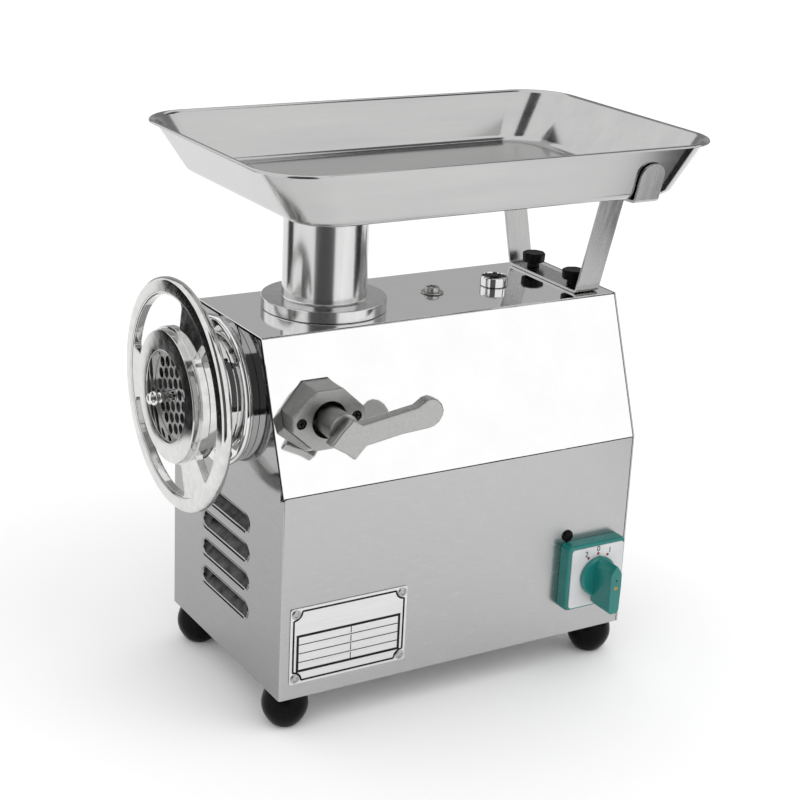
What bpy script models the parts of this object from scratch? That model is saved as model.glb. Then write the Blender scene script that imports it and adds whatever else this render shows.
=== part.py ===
# Electric meat grinder: a bench-top No. 22 machine with a head, a feed tube, a tray and a geared motor.
# Model frame, in metres: x = 0 is the upright plane through the feed screw, y = 0 the outer face of the
# front panel and y grows to the rear, z = 0 the underside of the body. Every piece hangs from one empty,
# which moves the model so that the middle of its base is at the world origin.
import math

import bmesh
import bpy

# Clearances and steps round a circle
GAP = 0.0003
RUNNING = 0.0005
FINE = 32
MEDIUM = 20
SMALL = 16

# Body shell
SHEET = 0.0015
BODY_LENGTH = 0.360
BASE_WIDTH = 0.218
TOP_WIDTH = 0.126
BODY_HEIGHT = 0.311
COVER_HEIGHT = 0.1236
SEAM = 0.0009
FOOT_HEIGHT = 0.033
FOOT_RADIUS = 0.0205
FOOT_INSET_X = 0.021
FOOT_INSET_Y = 0.017

# Front and rear slots
SLOT_LENGTH = 0.092
SLOT_WIDTH = 0.0145
SLOT_PITCH = 0.0273
LOWEST_SLOT = 0.0565
SLOTS_BELOW_COVER = 0.048

# Grinding head, on an axis along Y; the steps are how far one ring stands out past the seat
HEAD_ROOM = 0.00175
BARREL_RADIUS = 0.050
BARREL_WALL = 0.0087
BARREL_FRONT = -0.044
SEAT_WALL = 0.0075
FLANGE_STEP = 0.0075
FLANGE_DEPTH = 0.0065
NECK_STEP = 0.0045
NECK_DEPTH = 0.0075
PLATE_THICKNESS = 0.008
PLATE_FRONT = -0.049
PLATE_HOLE_RADIUS = 0.004
PLATE_HOLE_PITCH = 0.0106
PLATE_SOLID_CENTRE = 0.012
KNIFE_THICKNESS = 0.006
PIN_RADIUS = 0.0047
PIN_REACH = 0.024

# Ring nut cast in one with its hand wheel
HUB_WALL = 0.0065
HUB_FRONT = -0.0575
HUB_LENGTH = 0.0245
LIP_OVER_PLATE = 0.002
WHEEL_RADIUS = 0.1003
WHEEL_RIM_WIDTH = 0.0130
WHEEL_RIM_DEPTH = 0.010
WHEEL_CENTRE = -0.0465
WEB_THICKNESS = 0.006
SPOKE_ANGLES = (63.0, 183.0, 303.0)
SPOKE_HALF_ANGLE = 17.0

# Feed screw
SCREW_CORE = 0.013
SCREW_PITCH = 0.036
FLIGHT_THICKNESS = 0.004

# Feed tube
FEED_Y = 0.0915
FEED_RADIUS = 0.037
FEED_WALL = 0.002
FEED_FLANGE_BORDER = 0.0177
FEED_FLANGE_HEIGHT = 0.0103
WELD_HEIGHT = 0.005

# Tray
TRAY_WIDTH = 0.2814
TRAY_FRONT = -0.0291
TRAY_REAR_OVERHANG = 0.0537
RIM_HEIGHT = 0.4625
TRAY_DEPTH = 0.0485
TRAY_SHEET = 0.0012
LIP_WIDTH = 0.006
LIP_DROP = 0.004
RIM_CORNER = 0.047
FLOOR_CORNER = 0.030
SIDE_SLOPE = 0.0122
END_SLOPE = 0.031
COLLAR_HEIGHT = 0.018

# Tray bracket and its thumb knobs
BRACKET_REAR_INSET = 0.026
STRAP_WIDTH = 0.025
STRAP_THICKNESS = 0.0025
BRACKET_BASE = 0.106
LEDGE_LENGTH = 0.044
TAB_HEIGHT = 0.034
TAB_CLEARANCE = 0.002
KNOB_SPREAD = 0.064
KNOB_CAP_RADIUS = 0.0113
KNOB_CAP_HEIGHT = 0.0085
KNOB_STEM_RADIUS = 0.0055
KNOB_HEIGHT = 0.0135

# Head clamp, on an axis along X
CLAMP_Y = 0.0425
CLAMP_ABOVE_AXIS = 0.0
BOSS_HALF_WIDTH = 0.0335
BOSS_HALF_HEIGHT = 0.0260
BOSS_PROJECTION = 0.0188
BOSS_BORE = 0.016
BOSS_SCREW_SPREAD = 0.0512
STUD_RADIUS = 0.007
LEVER_HUB_RADIUS = 0.0125
LEVER_STANDOFF = 0.0285
LEVER_THICKNESS = 0.012
LEVER_REACH = 0.088
LEVER_RISE = 0.004

# Rotary switch
SWITCH_SIZE = 0.064
SWITCH_DEPTH = 0.0135
SWITCH_Y = 0.3183
SWITCH_Z = 0.062
DIAL_THICKNESS = 0.0008
SWITCH_KNOB_RADIUS = 0.0190
SWITCH_KNOB_DISC = 0.006
SWITCH_GRIP_WIDTH = 0.012
SWITCH_GRIP_ABOVE = 0.020
SWITCH_GRIP_BELOW = 0.027
SWITCH_KNOB_HEIGHT = 0.0295
CONTACT_DEPTH = 0.034
CONTACT_SIZE = 0.044
SWITCH_SHAFT_HOLE = 0.006

# Nameplate
PLATE_LABEL_LENGTH = 0.114
PLATE_LABEL_HEIGHT = 0.071
LABEL_THICKNESS = 0.0008
LABEL_Y = 0.066
LABEL_Z = 0.0495

# Oil filler and top screw
FILLER_RADIUS = 0.0127
FILLER_HEIGHT = 0.0095
FILLER_FROM_REAR = 0.092
TOP_SCREW_FROM_REAR = 0.158
TOP_SCREW_RADIUS = 0.0075
TOP_WASHER_RADIUS = 0.011

# Gear train: motor pinion, intermediate gear and pinion, output gear
FIRST_MODULE = 0.002
SECOND_MODULE = 0.0025
PINION_TEETH = 15
INTERMEDIATE_TEETH = 45
OUTPUT_TEETH = 41
FIRST_WIDTH = 0.014
SECOND_WIDTH = 0.020
CASE_WALL = 0.004
CASE_FRONT_WALL = 0.007
CASE_FLANGE = 0.006
GEAR_TIP_ROOM = 0.0015
SIDE_ROOM = 0.002
OUTPUT_SHAFT_RADIUS = 0.010
LAYSHAFT_RADIUS = 0.0075
BEARING_WALL = 0.008
BEARING_WIDTH = 0.010

# Motor
MOTOR_RADIUS = 0.060
MOTOR_WALL = 0.004
STATOR_BORE = 0.034
MOTOR_AIR_GAP = 0.0006
MOTOR_SHAFT_RADIUS = 0.008
SHIELD_THICKNESS = 0.008
FAN_ROOM = 0.034
FAN_RADIUS = 0.045
FAN_WIDTH = 0.012
FAN_BEHIND_MOTOR = 0.004
FAN_BLADES = 6
CAPACITOR_RADIUS = 0.017
CAPACITOR_LENGTH = 0.065
CAPACITOR_FROM_REAR = 0.150
GLAND_RADIUS = 0.010
GLAND_LENGTH = 0.016

# Places worked out from the sizes above
BREAK_HEIGHT = BODY_HEIGHT - COVER_HEIGHT
SLOT_COUNT = 1 + int((BREAK_HEIGHT - SLOTS_BELOW_COVER - LOWEST_SLOT) / SLOT_PITCH)
TRAY_LENGTH = BODY_LENGTH + TRAY_REAR_OVERHANG - TRAY_FRONT
SEAT_RADIUS = BARREL_RADIUS + RUNNING + SEAT_WALL
FLANGE_RADIUS = SEAT_RADIUS + FLANGE_STEP
NECK_RADIUS = SEAT_RADIUS + NECK_STEP
BARREL_BORE = BARREL_RADIUS - BARREL_WALL
PLATE_RADIUS = BARREL_BORE - GAP
MOUTH_RADIUS = PLATE_RADIUS - LIP_OVER_PLATE
HUB_RADIUS = BARREL_RADIUS + RUNNING + HUB_WALL
FEED_FLANGE_RADIUS = FEED_RADIUS + FEED_FLANGE_BORDER
CASE_CAVITY = SECOND_MODULE * (OUTPUT_TEETH / 2 + 1) + GEAR_TIP_ROOM
CASE_RADIUS = CASE_CAVITY + CASE_WALL
AXIS_Z = BODY_HEIGHT - SHEET - HEAD_ROOM - max(SEAT_RADIUS, CASE_RADIUS)
BARREL_REAR = FEED_Y + FEED_RADIUS + 0.010
CASE_FRONT = BARREL_REAR + 0.004
FLOOR_Z = RIM_HEIGHT - TRAY_DEPTH
TRAY_MIDDLE = TRAY_FRONT + TRAY_LENGTH / 2
PIN_TIP = PLATE_FRONT - PIN_REACH
CLAMP_Z = AXIS_Z + CLAMP_ABOVE_AXIS
FIRST_CENTRES = FIRST_MODULE * (PINION_TEETH + INTERMEDIATE_TEETH) / 2
SECOND_CENTRES = SECOND_MODULE * (PINION_TEETH + OUTPUT_TEETH) / 2
LAYSHAFT_Z = AXIS_Z - SECOND_CENTRES
MOTOR_Z = LAYSHAFT_Z - FIRST_CENTRES
SECOND_STAGE_Y = CASE_FRONT + CASE_FRONT_WALL + BEARING_WIDTH + SIDE_ROOM + SECOND_WIDTH / 2
FIRST_STAGE_Y = SECOND_STAGE_Y + (SECOND_WIDTH + FIRST_WIDTH) / 2 + SIDE_ROOM
CASE_REAR = FIRST_STAGE_Y + FIRST_WIDTH / 2 + SIDE_ROOM + BEARING_WIDTH
COVER_REAR = CASE_REAR + GAP + CASE_FLANGE
MOTOR_FRONT = COVER_REAR + GAP
MOTOR_REAR = BODY_LENGTH - FAN_ROOM
BRACKET_Y = BODY_LENGTH - BRACKET_REAR_INSET
KNOB_BASE_X = BASE_WIDTH / 2 + SWITCH_DEPTH + DIAL_THICKNESS + 3 * GAP
KNOB_OUTER_X = KNOB_BASE_X + SWITCH_KNOB_HEIGHT

for old in list(bpy.data.objects):
    bpy.data.objects.remove(old)
parts = bpy.data.collections.new("electric_meat_grinder")
cutters = bpy.data.collections.new("cutters")
origin = bpy.data.objects.new("grinder_origin", None)
finishes = {}


def side_x(height):
    """Half the body's outer width at a height above its underside."""
    if height <= BREAK_HEIGHT:
        return BASE_WIDTH / 2
    share = (height - BREAK_HEIGHT) / (BODY_HEIGHT - BREAK_HEIGHT)
    return BASE_WIDTH / 2 + share * (TOP_WIDTH - BASE_WIDTH) / 2


def set_up_scene():
    for group in (parts, cutters):
        bpy.context.scene.collection.children.link(group)
    cutters.hide_render = True
    reach_x = (KNOB_OUTER_X - TRAY_WIDTH / 2) / 2
    reach_y = (PIN_TIP + TRAY_FRONT + TRAY_LENGTH) / 2
    origin.location = (-reach_x, -reach_y, FOOT_HEIGHT)
    parts.objects.link(origin)


def finish(name, colour, roughness, metallic):
    material = bpy.data.materials.new(name)
    material.use_nodes = True
    shader = material.node_tree.nodes["Principled BSDF"]
    shader.inputs["Base Color"].default_value = (*colour, 1.0)
    shader.inputs["Roughness"].default_value = roughness
    shader.inputs["Metallic"].default_value = metallic
    material.diffuse_color = (*colour, 1.0)
    finishes[name] = material


def make_finishes():
    finish("brushed_stainless", (0.62, 0.62, 0.61), 0.32, 1.0)
    finish("polished_stainless", (0.80, 0.80, 0.79), 0.08, 1.0)
    finish("satin_panel", (0.55, 0.55, 0.55), 0.40, 1.0)
    finish("cast_aluminium", (0.58, 0.58, 0.57), 0.45, 1.0)
    finish("steel", (0.50, 0.50, 0.50), 0.35, 1.0)
    finish("cast_iron", (0.20, 0.21, 0.22), 0.60, 0.8)
    finish("motor_paint", (0.13, 0.15, 0.16), 0.50, 0.2)
    finish("copper_winding", (0.60, 0.30, 0.14), 0.40, 0.7)
    finish("black_rubber", (0.02, 0.02, 0.02), 0.70, 0.0)
    finish("black_plastic", (0.03, 0.03, 0.03), 0.45, 0.0)
    finish("teal_plastic", (0.02, 0.33, 0.30), 0.35, 0.0)
    finish("dial_face", (0.82, 0.83, 0.83), 0.35, 0.2)


def place(piece, at, finish_name):
    """Hangs a piece from the origin empty, with its material."""
    piece.location = at
    piece.parent = origin
    piece.data.materials.clear()
    piece.data.materials.append(finishes[finish_name])
    parts.objects.link(piece)
    return piece


def to_mesh_object(name, bm):
    mesh = bpy.data.meshes.new(name)
    bm.normal_update()
    bm.to_mesh(mesh)
    bm.free()
    return bpy.data.objects.new(name, mesh)


def box(name, size, at, finish_name, bevel=0.0):
    bm = bmesh.new()
    bmesh.ops.create_cube(bm, size=1.0)
    bmesh.ops.scale(bm, vec=size, verts=bm.verts)
    piece = place(to_mesh_object(name, bm), at, finish_name)
    if bevel:
        edge = piece.modifiers.new("edges", "BEVEL")
        edge.width = bevel
        edge.segments = 1
    return piece


AXIS_TURNS = {"X": (0, math.pi / 2, 0), "Y": (-math.pi / 2, 0, 0), "Z": (0, 0, 0)}


def downward(profile, closed):
    """The profile in the order that makes a turned shape face outwards."""
    ring = profile if closed else [(0.0, profile[0][1]), *profile, (0.0, profile[-1][1])]
    area = sum(a[0] * b[1] - b[0] * a[1] for a, b in zip(ring, ring[1:] + ring[:1]))
    return profile if area < 0 else profile[::-1]


def turned(name, profile, axis, at, finish_name, steps=FINE):
    """A profile of (radius, distance along the axis) points turned round an axis.

    It is solid where the profile starts and ends on the axis, and a ring otherwise."""
    closed = profile[0][0] > 0
    points = downward(profile, closed)
    bm = bmesh.new()
    verts = [bm.verts.new((radius, 0, along)) for radius, along in points]
    for start, end in zip(verts, verts[1:] + (verts[:1] if closed else [])):
        bm.edges.new((start, end))
    piece = place(to_mesh_object(name, bm), at, finish_name)
    piece.rotation_euler = AXIS_TURNS[axis]
    screw = piece.modifiers.new("turn", "SCREW")
    screw.axis = "Z"
    screw.steps = steps
    screw.render_steps = steps
    screw.use_merge_vertices = True
    screw.merge_threshold = 0.00002
    screw.use_smooth_shade = False
    return piece


def rod(name, radius, start, end, axis, at, finish_name, steps=MEDIUM):
    profile = [(0.0, start), (radius, start), (radius, end), (0.0, end)]
    return turned(name, profile, axis, at, finish_name, steps)


def tube(name, inner, outer, start, end, axis, at, finish_name, steps=MEDIUM):
    profile = [(inner, start), (outer, start), (outer, end), (inner, end)]
    return turned(name, profile, axis, at, finish_name, steps)


def circle_points(radius, steps, centre=(0.0, 0.0)):
    turn = 2 * math.pi / steps
    return [
        (centre[0] + radius * math.cos(turn * i), centre[1] + radius * math.sin(turn * i))
        for i in range(steps)
    ]


def slot_points(length, width, centre, upright=False, steps=6):
    """A slot with round ends, level or upright."""
    radius = width / 2
    reach = length / 2 - radius
    points = []
    for side in (1, -1):
        for i in range(steps + 1):
            angle = math.pi * (i / steps - 0.5)
            along = side * (reach + radius * math.cos(angle))
            across = side * radius * math.sin(angle)
            points.append((across, along) if upright else (along, across))
    if upright:
        points.reverse()
    return [(centre[0] + x, centre[1] + y) for x, y in points]


def rounded_rectangle(half_x, half_y, radius, steps=6):
    points = []
    corners = ((1, 1, 0), (-1, 1, 90), (-1, -1, 180), (1, -1, 270))
    for sign_x, sign_y, start in corners:
        for i in range(steps + 1):
            angle = math.radians(start + 90 * i / steps)
            x = sign_x * (half_x - radius) + radius * math.cos(angle)
            y = sign_y * (half_y - radius) + radius * math.sin(angle)
            points.append((x, y))
    return points


SHEET_TURNS = {"X": (math.pi / 2, 0, math.pi / 2), "Y": (math.pi / 2, 0, 0), "Z": (0, 0, 0)}


def flat(name, outlines, thickness, normal, at, finish_name):
    """A flat plate from closed outlines; an outline inside another is a hole.

    Its outline runs in (y, z) for normal X, (x, z) for normal Y and (x, y) for normal Z."""
    curve = bpy.data.curves.new(name, "CURVE")
    curve.dimensions = "2D"
    curve.fill_mode = "BOTH"
    curve.extrude = thickness / 2
    for outline in outlines:
        spline = curve.splines.new("POLY")
        spline.points.add(len(outline) - 1)
        for point, (u, v) in zip(spline.points, outline):
            point.co = (u, v, 0, 1)
        spline.use_cyclic_u = True
    piece = place(bpy.data.objects.new(name, curve), at, finish_name)
    piece.rotation_euler = SHEET_TURNS[normal]
    return piece


def as_mesh(piece):
    """Swaps a flat plate for a mesh object with welded caps, so that it can be cut."""
    bpy.context.view_layer.update()
    graph = bpy.context.evaluated_depsgraph_get()
    mesh = bpy.data.meshes.new_from_object(piece.evaluated_get(graph))
    bm = bmesh.new()
    bm.from_mesh(mesh)
    bmesh.ops.remove_doubles(bm, verts=bm.verts, dist=0.00001)
    bmesh.ops.recalc_face_normals(bm, faces=bm.faces)
    bm.to_mesh(mesh)
    bm.free()
    name, turn, at = piece.name, piece.rotation_euler.copy(), piece.location.copy()
    finish_name = piece.data.materials[0].name
    bpy.data.objects.remove(piece)
    solid = place(bpy.data.objects.new(name, mesh), at, finish_name)
    solid.rotation_euler = turn
    return solid


def cut(piece, cutter, operation="DIFFERENCE"):
    """Cuts one piece with another, or joins them; the second stays as a hidden helper."""
    if cutter.name not in cutters.objects:
        parts.objects.unlink(cutter)
        cutters.objects.link(cutter)
        cutter.hide_render = True
        cutter.display_type = "WIRE"
    modifier = piece.modifiers.new(operation.lower(), "BOOLEAN")
    modifier.operation = operation
    modifier.solver = "EXACT"
    modifier.object = cutter
    return piece


def hole(piece, name, radius, start, end, axis, at, steps=MEDIUM):
    return cut(piece, rod(name, radius, start, end, axis, at, "steel", steps))


def end_outline(inset=0.0):
    """The outline of the front and rear panels: an upright part under a trapezium."""
    base = BASE_WIDTH / 2 - inset
    top = TOP_WIDTH / 2 - inset
    return [
        (-base, inset), (base, inset), (base, BREAK_HEIGHT), (top, BODY_HEIGHT - inset),
        (-top, BODY_HEIGHT - inset), (-base, BREAK_HEIGHT),
    ]


def vent_slots():
    heights = [LOWEST_SLOT + i * SLOT_PITCH for i in range(SLOT_COUNT)]
    return [slot_points(SLOT_LENGTH, SLOT_WIDTH, (0.0, z)) for z in heights]


def body_panels():
    head_hole = circle_points(SEAT_RADIUS + RUNNING, FINE, (0.0, AXIS_Z))
    flat("front_panel", [end_outline(), head_hole, *vent_slots()], SHEET, "Y",
         (0, SHEET / 2, 0), "satin_panel")
    gland_at = (-BASE_WIDTH / 3, LOWEST_SLOT / 2)
    gland_hole = circle_points(GLAND_RADIUS * 0.7 + RUNNING, SMALL, gland_at)
    flat("rear_panel", [end_outline(), gland_hole, *vent_slots()], SHEET, "Y",
         (0, BODY_LENGTH - SHEET / 2, 0), "satin_panel")
    depth = BODY_LENGTH - 2 * (SHEET + GAP)
    inner_half = BASE_WIDTH / 2 - SHEET - GAP
    box("base_plate", (2 * inner_half, depth, SHEET), (0, BODY_LENGTH / 2, SHEET / 2), "satin_panel")
    side_height = BREAK_HEIGHT - SEAM
    for name, side in (("right_side_panel", 1), ("left_side_panel", -1)):
        at = (side * (BASE_WIDTH - SHEET) / 2, BODY_LENGTH / 2, side_height / 2)
        panel = box(name, (SHEET, depth, side_height), at, "satin_panel")
        if side > 0:
            hole(panel, "switch_shaft_hole", SWITCH_SHAFT_HOLE, -SHEET * 2, SHEET * 2, "X",
                 (BASE_WIDTH / 2, SWITCH_Y, SWITCH_Z), SMALL)


def upper_cover():
    """A sheet folded over the top: two sloping sides and a flat top."""
    foot = BASE_WIDTH / 2
    fold = TOP_WIDTH / 2
    section = [
        (foot, BREAK_HEIGHT), (fold, BODY_HEIGHT), (-fold, BODY_HEIGHT), (-foot, BREAK_HEIGHT),
    ]
    bm = bmesh.new()
    rows = []
    for y in (SHEET + GAP, BODY_LENGTH - SHEET - GAP):
        rows.append([bm.verts.new((x, y, z)) for x, z in section])
    for i in range(len(section) - 1):
        bm.faces.new((rows[0][i], rows[1][i], rows[1][i + 1], rows[0][i + 1]))
    cover = place(to_mesh_object("upper_cover", bm), (0, 0, 0), "polished_stainless")
    sheet = cover.modifiers.new("sheet", "SOLIDIFY")
    sheet.thickness = SHEET
    sheet.offset = -1
    sheet.use_even_offset = True
    over = 4 * SHEET
    feed_at = (0, FEED_Y, BODY_HEIGHT)
    hole(cover, "feed_tube_hole", FEED_RADIUS + RUNNING, -over, over, "Z", feed_at, FINE)
    filler_at = (0, BODY_LENGTH - FILLER_FROM_REAR, BODY_HEIGHT)
    hole(cover, "filler_hole", FILLER_RADIUS * 0.6 + RUNNING, -over, over, "Z", filler_at)
    boss_hole = flat("boss_hole", [boss_outline(RUNNING)], 0.05, "X",
                     (side_x(CLAMP_Z), CLAMP_Y, CLAMP_Z), "steel")
    cut(cover, as_mesh(boss_hole))
    return cover


def feet():
    profile = [
        (0.0, 0.0), (FOOT_RADIUS * 0.45, 0.0), (FOOT_RADIUS * 0.55, -FOOT_HEIGHT * 0.35),
        (FOOT_RADIUS, -FOOT_HEIGHT * 0.60), (FOOT_RADIUS, -FOOT_HEIGHT * 0.80),
        (FOOT_RADIUS * 0.75, -FOOT_HEIGHT), (0.0, -FOOT_HEIGHT),
    ]
    lowered = [(radius, along - GAP * (along > -FOOT_HEIGHT)) for radius, along in profile]
    for row, y in (("front", FOOT_INSET_Y), ("rear", BODY_LENGTH - FOOT_INSET_Y)):
        for name, side in (("right", 1), ("left", -1)):
            at = (side * (BASE_WIDTH / 2 - FOOT_INSET_X), y, 0)
            turned(f"foot_{row}_{name}", lowered, "Z", at, "black_rubber", MEDIUM)


def nameplate():
    at = (BASE_WIDTH / 2 + GAP + LABEL_THICKNESS / 2, LABEL_Y, LABEL_Z)
    size = (LABEL_THICKNESS, PLATE_LABEL_LENGTH, PLATE_LABEL_HEIGHT)
    box("nameplate", size, at, "brushed_stainless")


def head_seat():
    """The sleeve that carries the barrel, with the flange ring outside the front panel."""
    inner = BARREL_RADIUS + RUNNING
    front = -NECK_DEPTH - FLANGE_DEPTH
    profile = [
        (inner, front), (FLANGE_RADIUS - 0.001, front), (FLANGE_RADIUS, front + 0.001),
        (FLANGE_RADIUS, -NECK_DEPTH), (NECK_RADIUS, -NECK_DEPTH), (NECK_RADIUS, -GAP),
        (SEAT_RADIUS, -GAP), (SEAT_RADIUS, BARREL_REAR), (inner, BARREL_REAR),
    ]
    seat = turned("head_seat", profile, "Y", (0, 0, AXIS_Z), "cast_aluminium")
    hole(seat, "seat_feed_hole", FEED_RADIUS + RUNNING, 0, 0.1, "Z", (0, FEED_Y, AXIS_Z), FINE)
    hole(seat, "seat_stud_hole", STUD_RADIUS + RUNNING, 0, 0.1, "X", (0, CLAMP_Y, CLAMP_Z), SMALL)
    radius = (inner + FLANGE_RADIUS) / 2
    head = [(0.0, -0.0016), (0.002, -0.0014), (0.0026, 0.0), (0.0, 0.0)]
    for name, angle in (("upper", 128), ("lower", 232)):
        x = -radius * math.cos(math.radians(angle))
        z = AXIS_Z + radius * math.sin(math.radians(angle))
        turned(f"flange_screw_{name}", head, "Y", (x, front - GAP, z), "black_plastic", SMALL // 2)


def barrel():
    profile = [
        (BARREL_BORE, BARREL_FRONT), (BARREL_RADIUS, BARREL_FRONT), (BARREL_RADIUS, BARREL_REAR),
        (OUTPUT_SHAFT_RADIUS + 0.006, BARREL_REAR), (OUTPUT_SHAFT_RADIUS + 0.006, BARREL_REAR - 0.005),
        (BARREL_BORE, BARREL_REAR - 0.005),
    ]
    piece = turned("barrel", profile, "Y", (0, 0, AXIS_Z), "polished_stainless")
    inlet = FEED_RADIUS - FEED_WALL
    hole(piece, "barrel_inlet", inlet, 0, 0.1, "Z", (0, FEED_Y, AXIS_Z), FINE)


def helical_flight(name, inner, outer, start, end, pitch, thickness, at):
    """A screw thread of square section with capped ends, round the Y axis."""
    steps = round(SMALL * (end - start - thickness) / pitch)
    bm = bmesh.new()
    sections = []
    for i in range(steps + 1):
        along = start + (end - start - thickness) * i / steps
        angle = 2 * math.pi * i / SMALL
        corners = ((inner, along), (outer, along), (outer, along + thickness), (inner, along + thickness))
        sections.append([
            bm.verts.new((radius * math.cos(angle), y, radius * math.sin(angle)))
            for radius, y in corners
        ])
    for before, after in zip(sections, sections[1:]):
        for i in range(4):
            j = (i + 1) % 4
            bm.faces.new((before[i], before[j], after[j], after[i]))
    bm.faces.new(sections[0][::-1])
    bm.faces.new(sections[-1])
    bmesh.ops.recalc_face_normals(bm, faces=bm.faces)
    return place(to_mesh_object(name, bm), at, "steel")


def feed_screw():
    """The auger, its knife and the pin that turns in the perforated plate."""
    knife_rear = PLATE_FRONT + PLATE_THICKNESS + GAP + KNIFE_THICKNESS
    front = knife_rear + GAP
    rear = BARREL_REAR - 0.006
    core = [
        (0.0, front), (SCREW_CORE * 0.8, front), (SCREW_CORE, front + 0.02), (SCREW_CORE, rear),
        (0.0, rear),
    ]
    screw = turned("feed_screw", core, "Y", (0, 0, AXIS_Z), "steel", MEDIUM)
    flight = helical_flight("flight", SCREW_CORE * 0.6, BARREL_BORE - 2 * RUNNING, front + 0.002,
                            rear - 0.002, SCREW_PITCH, FLIGHT_THICKNESS, (0, 0, AXIS_Z))
    cut(screw, flight, "UNION")
    blade = PLATE_RADIUS - 0.003
    cross = [
        (blade * math.cos(math.radians(a)) * r, blade * math.sin(math.radians(a)) * r)
        for quarter in range(4)
        for a, r in ((90 * quarter - 8, 1.0), (90 * quarter + 8, 1.0), (90 * quarter + 45, 0.34))
    ]
    knife_y = knife_rear - KNIFE_THICKNESS / 2
    flat("knife", [cross, circle_points(PIN_RADIUS + RUNNING, SMALL)], KNIFE_THICKNESS, "Y",
         (0, knife_y, AXIS_Z), "steel")
    groove = PIN_TIP + 0.006
    pin = [
        (0.0, PIN_TIP), (PIN_RADIUS * 1.1, PIN_TIP), (PIN_RADIUS * 1.3, PIN_TIP + 0.0015),
        (PIN_RADIUS * 1.3, groove - 0.0015), (PIN_RADIUS * 0.75, groove - 0.001),
        (PIN_RADIUS * 0.75, groove + 0.001), (PIN_RADIUS, groove + 0.002),
        (PIN_RADIUS, front - GAP), (0.0, front - GAP),
    ]
    turned("centre_pin", pin, "Y", (0, 0, AXIS_Z), "polished_stainless", SMALL)


def perforated_plate():
    """A round plate with holes on a triangular pattern round a solid middle."""
    holes = []
    reach = range(-4, 5)
    for row in reach:
        for column in reach:
            x = (column + 0.5 * (row % 2)) * PLATE_HOLE_PITCH
            z = row * PLATE_HOLE_PITCH * math.sqrt(0.75)
            distance = math.hypot(x, z)
            inside = distance < PLATE_RADIUS - PLATE_HOLE_RADIUS - 0.002
            if inside and distance > PLATE_SOLID_CENTRE - PLATE_HOLE_RADIUS:
                holes.append(circle_points(PLATE_HOLE_RADIUS, 8, (x, z)))
    middle = circle_points(PIN_RADIUS + RUNNING, SMALL)
    flat("perforated_plate", [circle_points(PLATE_RADIUS, FINE), middle, *holes], PLATE_THICKNESS,
         "Y", (0, PLATE_FRONT + PLATE_THICKNESS / 2, AXIS_Z), "steel")


def kidney_points(inner, outer, start, end, steps=10):
    """A ring sector between two radii, as a closed outline."""
    angles = [math.radians(start + (end - start) * i / steps) for i in range(steps + 1)]
    far = [(outer * math.cos(a), outer * math.sin(a)) for a in angles]
    near = [(inner * math.cos(a), inner * math.sin(a)) for a in reversed(angles)]
    return far + near


def ring_nut():
    """Ring nut, three spokes and rim in one casting."""
    bore = BARREL_RADIUS + RUNNING
    rim_inner = WHEEL_RADIUS - WHEEL_RIM_WIDTH
    web_front = WHEEL_CENTRE - WEB_THICKNESS / 2
    web_rear = WHEEL_CENTRE + WEB_THICKNESS / 2
    rim_front = WHEEL_CENTRE - WHEEL_RIM_DEPTH / 2
    rim_rear = WHEEL_CENTRE + WHEEL_RIM_DEPTH / 2
    lip_rear = PLATE_FRONT - GAP
    edge = WHEEL_RIM_DEPTH * 0.3
    profile = [
        (MOUTH_RADIUS, lip_rear), (MOUTH_RADIUS, HUB_FRONT + 0.0015), (MOUTH_RADIUS + 0.002, HUB_FRONT),
        (HUB_RADIUS - 0.003, HUB_FRONT), (HUB_RADIUS, HUB_FRONT + 0.003), (HUB_RADIUS, web_front),
        (rim_inner, web_front), (rim_inner, rim_front + edge), (rim_inner + edge, rim_front),
        (WHEEL_RADIUS - edge, rim_front), (WHEEL_RADIUS, rim_front + edge),
        (WHEEL_RADIUS, rim_rear - edge), (WHEEL_RADIUS - edge, rim_rear), (rim_inner + edge, rim_rear),
        (rim_inner, rim_rear - edge), (rim_inner, web_rear), (HUB_RADIUS, web_rear),
        (HUB_RADIUS, HUB_FRONT + HUB_LENGTH), (bore, HUB_FRONT + HUB_LENGTH), (bore, lip_rear),
    ]
    nut = turned("ring_nut", profile, "Y", (0, 0, AXIS_Z), "polished_stainless")
    for number, angle in enumerate(SPOKE_ANGLES):
        outline = kidney_points(HUB_RADIUS + 0.002, rim_inner - 0.001, angle + SPOKE_HALF_ANGLE,
                                angle + 120 - SPOKE_HALF_ANGLE)
        opening = flat(f"wheel_opening_{number}", [outline], WEB_THICKNESS * 1.5, "Y",
                       (0, WHEEL_CENTRE, AXIS_Z), "steel")
        cut(nut, as_mesh(opening))


def feed_tube():
    """The feed tube with its flange disc and weld ring, open at both ends."""
    inner = FEED_RADIUS - FEED_WALL
    seat = BODY_HEIGHT + GAP
    disc = seat + FEED_FLANGE_HEIGHT
    foot = AXIS_Z + BARREL_RADIUS + RUNNING
    profile = [
        (inner, foot), (FEED_RADIUS, foot), (FEED_RADIUS, seat), (FEED_FLANGE_RADIUS, seat),
        (FEED_FLANGE_RADIUS, disc - 0.001), (FEED_FLANGE_RADIUS - 0.001, disc),
        (FEED_RADIUS + 0.002, disc), (FEED_RADIUS + 0.002, disc + WELD_HEIGHT * 0.6),
        (FEED_RADIUS, disc + WELD_HEIGHT), (FEED_RADIUS, FLOOR_Z - GAP), (inner, FLOOR_Z - GAP),
    ]
    turned("feed_tube", profile, "Z", (0, FEED_Y, 0), "brushed_stainless")


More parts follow.
